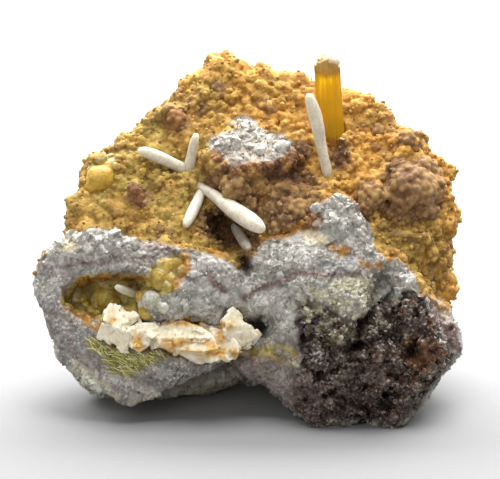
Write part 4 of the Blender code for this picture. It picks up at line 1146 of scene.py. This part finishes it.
def makeFibres():
    corners = outlines["fibre"][0]
    low = [min(corner[axis] for corner in corners) for axis in (0, 1)]
    high = [max(corner[axis] for corner in corners) for axis in (0, 1)]
    deselectAll()
    bpy.ops.mesh.primitive_cone_add(vertices=5, radius1=0.5, radius2=0.15, depth=1, location=(0, 0, 0.5))
    bpy.ops.object.transform_apply()
    model = bpy.context.object
    strands = []
    while len(strands) < fibres["count"]:
        right, up = chance.uniform(low[0], high[0]), chance.uniform(low[1], high[1])
        if within(np.array([right]), np.array([up]), "fibre", 0.2)[0] < 0.5:
            continue
        angle = fibres["fall"] + chance.gauss(0, 0.45)
        length = chance.uniform(*fibres["length"])
        ends = []
        for step in (-0.5, 0.5):
            place = skinAt(right + step * length * math.cos(angle), up + step * length * math.sin(angle))
            ends.append(place - awayAxis * chance.uniform(-0.06, 0.10) * mm if place else None)
        if None in ends or (ends[1] - ends[0]).length > 1.4 * length * mm:
            continue
        width = chance.uniform(*fibres["width"])
        strands.append(layBlade(model, *ends, width, width, 0))
    piece = joinAll("green_fibres", strands)
    tone = np.repeat(dice.random(fibres["count"]), len(model.data.vertices))
    paint(piece, "tone", [tone, tone, tone])
    n = Nodes("green_fibre_look")
    n.feed(color=n.ramp(n.attribute("tone")[0], (0.0, (0.26, 0.22, 0.05)), (0.4, (0.54, 0.49, 0.14)),
                        (0.75, (0.70, 0.66, 0.27)), (1.0, (0.80, 0.77, 0.50))), roughness=0.4)
    finishPiece(piece, "rock", n.material)
    needles = []
    for (left, right, width) in fibres["needles"]:
        start, end = skinAt(*left), skinAt(*right)
        needles.append(layBlade(model, start + awayAxis * 0.3 * mm, end - awayAxis * 0.5 * mm, width, width, 0))
    n = Nodes("yellow_needle_look")
    n.feed(color=n.ramp(n.noise(0.4), (0.4, (0.72, 0.62, 0.16)), (0.6, (0.80, 0.76, 0.48))), roughness=0.2)
    finishPiece(joinAll("yellow_needles", needles), "rock", n.material)
    bpy.data.objects.remove(model)
    print("fibres laid")


# Spindles of smithsonite: each a run of rings, right, up, away and radius, from the root to the tip.
spindles = {
    "sides": 12,
    "shapes": {
        "smithsonite_tall": [[
            (8.5, 25.2, 9.8, 0.62), (8.0, 27.3, 8.9, 0.57), (7.55, 29.0, 8.3, 0.54), (7.15, 31.2, 7.5, 0.70),
            (6.8, 32.9, 6.9, 0.76), (6.3, 34.3, 6.4, 0.62), (6.1, 35.0, 6.2, 0.32)]],
        "smithsonite_fork": [[
            (-6.4, 26.1, 9.8, 0.35), (-5.25, 25.3, 8.6, 0.42), (-4.0, 24.5, 7.4, 0.58), (-2.6, 23.4, 6.0, 0.80),
            (-1.3, 22.5, 4.7, 0.98), (-0.1, 21.7, 3.5, 1.00), (0.85, 21.05, 2.6, 0.82), (1.45, 20.65, 2.2, 0.42)], [
            (-4.9, 25.2, 9.0, 0.50), (-5.5, 23.7, 7.4, 0.58), (-6.1, 22.4, 6.0, 0.66), (-6.6, 21.4, 5.1, 0.52),
            (-6.75, 21.0, 4.8, 0.26)]],
        "smithsonite_pair": [[
            (-6.0, 26.6, 10.3, 0.70), (-7.9, 27.6, 9.3, 0.60), (-9.7, 28.4, 8.7, 0.70), (-11.0, 28.9, 8.3, 0.62),
            (-11.8, 29.1, 8.0, 0.32)], [
            (-6.6, 26.0, 10.3, 0.80), (-6.4, 27.2, 9.6, 0.62), (-6.1, 28.9, 9.0, 0.52), (-5.8, 30.1, 8.6, 0.50),
            (-5.6, 30.9, 8.4, 0.28)]],
        "smithsonite_pocket": [[
            (-1.8, 21.4, 12.0, 0.50), (-1.2, 20.4, 10.2, 0.58), (-0.6, 19.4, 8.4, 0.64), (-0.2, 18.8, 7.2, 0.50),
            (-0.1, 18.6, 6.8, 0.25)]],
        "smithsonite_vug": [[
            (-10.4, 13.3, 7.8, 0.36), (-11.8, 13.9, 6.1, 0.48), (-13.1, 14.4, 4.6, 0.50), (-13.8, 14.7, 3.8, 0.38),
            (-14.0, 14.8, 3.5, 0.18)]],
    },
}


def growSpindle(stations):
    places = [toFrame(*station[:3]) for station in stations]
    turn = (places[-1] - places[0]).to_track_quat("Z", "Y")
    deselectAll()
    bpy.ops.mesh.primitive_circle_add(
        vertices=spindles["sides"], radius=stations[0][3] * mm, fill_type="NGON",
        location=places[0], rotation=turn.to_euler())
    bpy.ops.object.transform_apply()
    bpy.ops.object.mode_set(mode="EDIT")
    bpy.ops.mesh.select_all(action="SELECT")
    for order in range(1, len(stations)):
        bpy.ops.mesh.extrude_region_move(TRANSFORM_OT_translate={"value": places[order] - places[order - 1]})
        swell = stations[order][3] / stations[order - 1][3]
        bpy.ops.transform.resize(value=(swell, swell, swell), center_override=places[order])
    bpy.ops.mesh.select_all(action="SELECT")
    bpy.ops.mesh.normals_make_consistent(inside=False)
    bpy.ops.object.mode_set(mode="OBJECT")
    return bpy.context.object


def spindleMaterial():
    n = Nodes("smithsonite_satin")
    cloud = n.mix(0.5, n.noise(1.1, 3), n.noise(0.25, 3))
    n.feed(color=n.ramp(cloud, (0.35, (0.50, 0.45, 0.35)), (0.60, (0.72, 0.67, 0.55))),
           roughness=n.ramp(n.noise(0.2), (0.4, 0.34), (0.6, 0.52)),
           subsurface=0.5, radius=(0.0012, 0.0011, 0.0009), scatterScale=1.0,
           normal=n.bump(n.mix(0.5, n.noise(0.14, 4), n.noise(0.5, 2)), 0.5, 0.05))
    return n.material


def makeSpindles():
    look = spindleMaterial()
    for name, shapes in spindles["shapes"].items():
        piece = joinAll(name + "_body", [growSpindle(stations) for stations in shapes])
        applyModifier(piece, "SUBSURF", "round", levels=3, render_levels=3)
        roughen(piece, (0.035, 0.6, 7), (0.016, 0.22, 8))
        finishPiece(piece, "smithsonite", look, name)
    print("spindles grown")


makeSpindles()


# Legrandite: a bundle of grown-together six-sided columns with a stepped, frosted end.
prism = {
    "root": (8.7, 28.4, 11.3),
    "top": (8.02, 38.80, 8.4),
    "voxel": 0.075,
    # offset right and away, radius, how far it stops short of the top
    "columns": (
        (-0.94, 0.00, 0.48, 0.75), (-0.62, -0.42, 0.46, 0.45), (-0.18, -0.52, 0.50, 0.15), (0.32, -0.50, 0.48, 0.35),
        (0.76, -0.36, 0.48, 0.60), (1.00, 0.08, 0.44, 0.95), (0.55, 0.40, 0.50, 0.10), (0.00, 0.45, 0.55, 0.0),
        (-0.52, 0.36, 0.50, 0.20), (0.05, 0.0, 0.62, 0.05)),
    "cap": (8.6, 38.5, 8.7, 0.86),
}


def prismMaterial():
    n = Nodes("legrandite_amber")
    place = n.add("ShaderNodeSeparateXYZ", {"Vector": n.place}).outputs["Z"]
    height = n.maths("MULTIPLY_ADD", place, 1 / (10.6 * mm), -25.0 / 10.6)      # 0 at the root, 1 at the tip
    jag = n.maths("MULTIPLY_ADD", n.noise(0.5, 3), 0.14, -0.07)
    ripe = n.ramp(n.maths("ADD", height, jag), (0.0, (0.30, 0.10, 0.02)), (0.16, (0.55, 0.22, 0.02)),
                  (0.26, (0.80, 0.53, 0.003)), (0.80, (0.92, 0.66, 0.004)), (0.86, (0.46, 0.27, 0.05)),
                  (0.97, (0.62, 0.46, 0.20)))
    frost = n.ramp(n.maths("ADD", height, jag), (0.0, 0.35), (0.25, 0.16), (0.80, 0.10), (0.86, 0.55))
    streaks = n.add("ShaderNodeMapping", {"Vector": n.place, "Scale": (1, 1, 0.06)}).outputs["Vector"]
    lines = n.add("ShaderNodeTexNoise", {"Vector": streaks, "Scale": 1 / (0.16 * mm), "Detail": 3.0}).outputs["Fac"]
    n.feed(color=ripe, roughness=frost, ior=1.70, transmission=0.60, specular=0.12,
           normal=n.bump(lines, 0.15, 0.04))
    n.shader.inputs["Specular Tint"].default_value = (1.0, 0.80, 0.35, 1)
    volume = n.add("ShaderNodeVolumeAbsorption")
    volume.inputs["Color"].default_value = (1.0, 0.90, 0.04, 1)
    volume.inputs["Density"].default_value = 1900
    n.tree.links.new(volume.outputs[0], n.output.inputs["Volume"])
    return n.material


def makePrism():
    root, top = toFrame(*prism["root"]), toFrame(*prism["top"])
    length = (top - root).length
    columns = []
    for right, away, radius, short in prism["columns"]:
        deselectAll()
        bpy.ops.mesh.primitive_cylinder_add(
            vertices=6, radius=radius * mm, depth=length - short * mm, rotation=(0, 0, chance.uniform(0, 1)),
            location=(right * mm, away * mm, (length - short * mm) / 2))
        bpy.ops.object.transform_apply()
        column = bpy.context.object
        points = pointsOf(column)
        slope = np.array([chance.uniform(-0.5, 0.5), chance.uniform(-0.5, 0.5)])
        ends = points[:, 2] > length / 2
        points[ends, 2] += (points[ends, :2] - np.array([right, away]) * mm) @ slope
        setPoints(column, points)
        columns.append(column)
    piece = joinAll("legrandite_body", columns)
    applyModifier(piece, "REMESH", "growTogether", mode="VOXEL", voxel_size=prism["voxel"] * mm)
    applyModifier(piece, "SMOOTH", "polish", factor=0.5, iterations=4)
    across = Vector((1, 0, 0))
    upright = (top - root).normalized()
    turn = Matrix((across, upright.cross(across), upright)).transposed().to_4x4()
    piece.data.transform(Matrix.Translation(root) @ turn)
    finishPiece(piece, "legrandite", prismMaterial(), "legrandite_prism")
    right, up, away, radius = prism["cap"]
    deselectAll()
    bpy.ops.mesh.primitive_ico_sphere_add(subdivisions=5, radius=radius * mm, location=toFrame(right, up, away))
    bpy.ops.object.transform_apply()
    cap = bpy.context.object
    cap.name = cap.data.name = "smithsonite_cap_body"
    roughen(cap, (0.06, 0.7, 3), (0.03, 0.25, 4))
    finishPiece(cap, "smithsonite", bpy.data.materials["smithsonite_satin"], "smithsonite_cap")
    print("prism and cap made", len(piece.data.polygons), "faces")


makePrism()


# White blades of the seam: spears on a rough bed, and splinters between them.
blades = {
    "spread": 1.09,         # how much wider the plates are than their outlines, so that they run together
    # a plate's outline on the page, how near its front lies, and how it falls back to the right and upwards
    "plates": (
        (((-14.6, 12.9), (-13.3, 11.9), (-11.4, 11.7), (-12.8, 10.5), (-14.1, 10.8), (-15.2, 11.3)), 2.4, (0.5, 0.3)),
        (((-15.3, 11), (-13.9, 10.6), (-12.3, 9.8), (-13, 8.3), (-14.4, 9), (-15.9, 9.5)), 2.1, (-0.35, -0.3)),
        (((-11.5, 10.2), (-10.2, 9.4), (-10.6, 8.6), (-11.4, 8), (-12.3, 8.4), (-12.5, 8.7)), 2.0, (0.5, -0.2)),
        (((-12.4, 10.2), (-11.3, 11), (-9.9, 11), (-9.1, 10.1), (-10.2, 9.4), (-11.5, 10.1)), 2.5, (0.2, 0.5)),
        (((-9.4, 10.2), (-8.4, 10.9), (-7, 11.2), (-5.2, 10.5), (-4, 9.7), (-3.5, 8.4), (-5.2, 8.1),
          (-7.3, 8.3), (-8.9, 8.9)), 2.3, (-0.1, 0.35)),
        (((-1.8, 12.6), (-1, 11.5), (0, 10.2), (-0.6, 8.9), (-1.9, 9.1), (-2.7, 9.8), (-2.8, 11)), 2.3, (0.5, 0.1)),
        (((-0.4, 11), (0.8, 9.7), (0, 9), (-1.3, 9.1), (-1.1, 10.6)), 2.1, (-0.3, -0.35)),
        (((-7.7, 8.3), (-5.2, 8.1), (-2.9, 8.3), (-1.2, 8.1), (-1.7, 7.2), (-4.5, 7.3), (-5.5, 6.8),
          (-6.7, 7.5)), 2.5, (0.05, -0.5)),
        (((-3.5, 9.7), (-2.3, 10), (-1.3, 8.9), (-1.2, 8), (-2.7, 7.9), (-3.8, 8.5)), 2.1, (-0.4, 0.1)),
        (((-13.9, 8.5), (-12.7, 8.2), (-12.5, 7.8), (-13.4, 7.9)), 2.4, (0.2, -0.2)),
    ),
    # a spear's two ends, its width and how near the front it ends
    "spears": (
        ((-15.0, 11.4), (-11.5, 11.75), 1.0, 2.1), ((-14.6, 11.2), (-14.55, 12.95), 1.1, 2.3),
        ((-8.6, 10.8), (-4.0, 8.7), 1.2, 2.0), ((-7.2, 11.0), (-3.9, 9.8), 0.8, 2.5),
        ((-2.0, 9.0), (-1.75, 12.6), 1.2, 2.1), ((-2.2, 9.9), (0.85, 9.6), 1.1, 2.0),
        ((-5.8, 8.4), (-4.8, 6.9), 1.1, 2.5), ((-13.8, 8.6), (-12.7, 7.8), 0.6, 2.2),
        ((-11.9, 9.0), (-9.4, 10.6), 0.9, 2.2), ((-15.6, 10.0), (-12.6, 9.2), 1.0, 1.9),
        ((-9.6, 9.2), (-7.6, 11.0), 1.2, 2.3), ((-4.4, 7.8), (-2.4, 9.8), 1.1, 2.2),
        ((-6.6, 9.6), (-3.4, 7.9), 0.9, 2.0), ((-10.4, 8.6), (-8.0, 9.4), 0.9, 2.3),
        ((-3.6, 8.8), (-0.8, 7.9), 0.9, 2.3), ((-1.2, 8.6), (0.3, 8.9), 0.9, 2.4),
    ),
    "splinters": 34,
    "seam": ((-14.6, 10.4), (-10.5, 9.6), (-6.4, 9.0), (-2.0, 9.2), (0.4, 9.4)),
}


def bladeModel():
    # one unit long up Z, one wide, with a pointed end and bevelled edges
    deselectAll()
    bpy.ops.mesh.primitive_cube_add(size=1, location=(0, 0, 0.3), scale=(1, 0.28, 0.6))
    bpy.ops.object.transform_apply()
    model = bpy.context.object
    for face in model.data.polygons:
        face.select = face.center.z > 0.55
    bpy.ops.object.mode_set(mode="EDIT")
    bpy.ops.mesh.select_mode(type="FACE")
    bpy.ops.mesh.extrude_region_move(TRANSFORM_OT_translate={"value": (0.08, 0, 0.4)})
    bpy.ops.transform.resize(value=(0.16, 0.45, 1), center_override=(0.1, 0, 1))
    bpy.ops.mesh.select_all(action="SELECT")
    bpy.ops.mesh.bevel(offset=0.05, segments=1)
    bpy.ops.mesh.subdivide(number_cuts=2)
    bpy.ops.object.mode_set(mode="OBJECT")
    return model


def layPlate(outline, near, fall):
    # a flat-faced plate on the page, its face falling back along the two slopes
    middle = [sum(corner[axis] for corner in outline) / len(outline) for axis in (0, 1)]
    deselectAll()
    bpy.ops.mesh.primitive_circle_add(vertices=len(outline), radius=mm, fill_type="NGON")
    plate = bpy.context.object
    for vertex, (right, up) in zip(plate.data.vertices, outline):
        right = middle[0] + (right - middle[0]) * blades["spread"]
        up = middle[1] + (up - middle[1]) * blades["spread"]
        drop = fall[0] * (right - middle[0]) + fall[1] * (up - middle[1])
        vertex.co = toFrame(right, up, near + drop)
    bpy.ops.object.mode_set(mode="EDIT")
    bpy.ops.mesh.select_all(action="SELECT")
    bpy.ops.mesh.extrude_region_move(TRANSFORM_OT_translate={"value": awayAxis * 2.4 * mm})
    bpy.ops.transform.resize(value=(0.8, 0.8, 0.8), center_override=toFrame(*middle, near + 2.4))
    bpy.ops.mesh.select_all(action="SELECT")
    bpy.ops.mesh.normals_make_consistent(inside=False)
    bpy.ops.mesh.bevel(offset=0.07 * mm, segments=2)
    bpy.ops.object.mode_set(mode="OBJECT")
    return plate


def layBlade(model, start, end, width, thickness, roll):
    blade = model.copy()
    blade.data = model.data.copy()
    bpy.context.scene.collection.objects.link(blade)
    along = end - start
    flat = (awayAxis - along * awayAxis.dot(along) / along.length_squared).normalized()
    flat = Matrix.Rotation(roll, 3, along.normalized()) @ flat
    side = along.normalized().cross(flat)
    basis = Matrix((side * width * mm, -flat * thickness * mm, along)).transposed().to_4x4()
    blade.data.transform(Matrix.Translation(start) @ basis)
    if basis.determinant() < 0:
        blade.data.flip_normals()
    return blade


def bladeMaterial():
    n = Nodes("white_blades_look")
    stains = n.attribute("relief")[0]
    cloud = n.mix(0.5, n.noise(1.0, 3), n.noise(0.3, 4))
    white = n.ramp(cloud, (0.36, (0.68, 0.58, 0.37)), (0.58, (0.88, 0.81, 0.64)))
    rusty = n.ramp(n.noise(0.4, 4), (0.35, (0.44, 0.19, 0.03)), (0.5, (0.72, 0.42, 0.10)),
                   (0.7, (0.80, 0.58, 0.22)))
    n.feed(color=n.mix(stains, white, rusty), roughness=0.38, subsurface=0.4, radius=(0.0008, 0.0007, 0.0005),
           scatterScale=1.0, normal=n.bump(n.noise(0.25, 4), 0.4, 0.06))
    return n.material


def stainOf(points):
    right, up, away = toPage(points)
    patchy = noiseAt(points, 0.9, 12)
    total = np.zeros(len(points))
    for centre, reach in (((-11.6, 8.8), (0.7, 1.0)), ((-7.2, 8.7), (2.3, 0.8)), ((-4.4, 8.3), (1.4, 0.9)),
                          ((-2.6, 7.9), (2.4, 0.55)), ((-14.2, 11.2), (0.5, 0.35)), ((-6.0, 11.0), (3.0, 0.35)),
                          ((-2.5, 10.7), (0.8, 0.6)), ((-3.0, 9.6), (0.5, 0.7))):
        total = np.maximum(total, blob(right, up, centre, reach, 0, 0.6))
    return total * softStep(patchy, -0.6, -0.05)


def makeBlades():
    model = bladeModel()
    parts = [layPlate(*plate) for plate in blades["plates"]]
    for (left, right, width, near) in blades["spears"]:
        start = toFrame(*left, near + 1.4)
        end = toFrame(*right, near + 0.25)
        parts.append(layBlade(model, start, end, width, chance.uniform(0.9, 1.3), chance.uniform(-0.35, 0.35)))
    for _ in range(blades["splinters"]):
        across = chance.uniform(0.03, 0.97) * (len(blades["seam"]) - 1)
        first = int(across)
        (r0, u0), (r1, u1) = blades["seam"][first], blades["seam"][min(first + 1, len(blades["seam"]) - 1)]
        share = across - first
        right, up = r0 + (r1 - r0) * share, u0 + (u1 - u0) * share + chance.gauss(0, 0.75)
        angle, length = chance.uniform(0, 6.28), chance.uniform(0.7, 1.7)
        start = toFrame(right, up, 4.3)
        end = toFrame(right + length * math.cos(angle), up + 0.6 * length * math.sin(angle),
                      chance.uniform(2.7, 3.5))
        parts.append(layBlade(model, start, end, chance.uniform(0.4, 0.9), chance.uniform(0.6, 1.1),
                              chance.uniform(-0.8, 0.8)))
    bpy.data.objects.remove(model)
    spears = joinAll("blade_spears", parts)
    applyModifier(spears, "REMESH", "growTogether", mode="VOXEL", voxel_size=0.085 * mm)
    roughen(spears, (0.025, 0.45, 9))
    bed = bpy.data.objects.new("blade_bed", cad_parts["white_blades"].data.copy())
    bpy.context.scene.collection.objects.link(bed)
    takeUp(bed)
    applyModifier(bed, "REMESH", "bedTogether", mode="VOXEL", voxel_size=0.14 * mm)
    applyModifier(bed, "SMOOTH", "wear", factor=0.5, iterations=4)
    points, normals = pointsOf(bed), normalsOf(bed)
    right, up, away = toPage(points)
    # its right foot stays under the rock's skin
    sunk = softStep(right, -1.2, -0.4) * softStep(8.4 - up, 0, 0.4)
    setPoints(bed, points - normals * (0.05 * mm) + np.outer(1.6 * sunk * mm, awayAxis))
    breakUp(bed, np.ones(len(points)), 0.8, 0.35, 0.10)
    look = bladeMaterial()
    for piece in (spears, bed):
        stain = stainOf(pointsOf(piece))
        paint(piece, "relief", [stain, stain, stain])
        finishPiece(piece, "blades", look, "white_blades")
    print("blades laid")


makeBlades()
makeFibres()
bpy.data.objects.remove(wholeRock)


# Floor, lights and camera.

studio = {
    "floor": (0.27, 0.27, 0.273),
    "floorSize": 1.6,
    "distance": 700.0,      # camera to the stone, millimetres
    "frameWidth": 52.5,     # what the picture's width takes in at the stone
    "aim": (0.0, 19.69, 9.0),
    # each lamp: place, size, watts and what it points at, in metres
    "lamps": {
        "key_above": ((0.05, 0.0, 0.42), (0.30, 0.30), 2.35, (0, 0, 0.015)),
        "back_wash": ((0.0, 0.17, 0.17), (0.5, 0.2), 3.7, (0.0, 0.175, 0.0)),
        "front_fill": ((-0.18, -0.42, 0.22), (0.30, 0.25), 0.6, (0, 0, 0.015)),
    },
    "skyStrength": 0.38,
}


def softBox(name, place, size, watts, aim):
    lamp = bpy.data.lights.new(name, "AREA")
    lamp.shape = "RECTANGLE"
    lamp.size, lamp.size_y = size
    lamp.energy = watts
    holder = bpy.data.objects.new(name, lamp)
    bpy.context.scene.collection.objects.link(holder)
    holder.location = place
    holder.rotation_euler = (Vector(aim) - Vector(place)).to_track_quat("-Z", "Y").to_euler()


def makeStudio():
    deselectAll()
    bpy.ops.mesh.primitive_plane_add(size=studio["floorSize"], location=(0, 0.3, 0))
    floor = bpy.context.object
    floor.name = "floor"
    n = Nodes("pale_floor")
    floor.data.materials.append(n.feed(color=studio["floor"], roughness=0.8, specular=0.1))
    for name, settings in studio["lamps"].items():
        softBox(name, *settings)
    world = bpy.data.worlds.new("studio")
    world.use_nodes = True
    world.node_tree.nodes["Background"].inputs["Color"].default_value = (1, 1, 1, 1)
    world.node_tree.nodes["Background"].inputs["Strength"].default_value = studio["skyStrength"]
    scene = bpy.context.scene
    scene.world = world
    scene.view_settings.view_transform = "Standard"
    camera = bpy.data.cameras.new("camera")
    camera.lens = camera.sensor_width * studio["distance"] / studio["frameWidth"]
    camera.clip_start, camera.clip_end = 0.01, 10
    holder = bpy.data.objects.new("camera", camera)
    scene.collection.objects.link(holder)
    aim = toFrame(*studio["aim"])
    holder.location = aim - awayAxis * studio["distance"] * mm
    holder.rotation_euler = awayAxis.to_track_quat("-Z", "Y").to_euler()
    scene.camera = holder


makeStudio()
print("studio set")

meshes = [piece.data for piece in bpy.context.scene.objects if piece.type == "MESH"]
print("all pieces", sum(len(face.vertices) - 2 for mesh in meshes for face in mesh.polygons), "triangles")
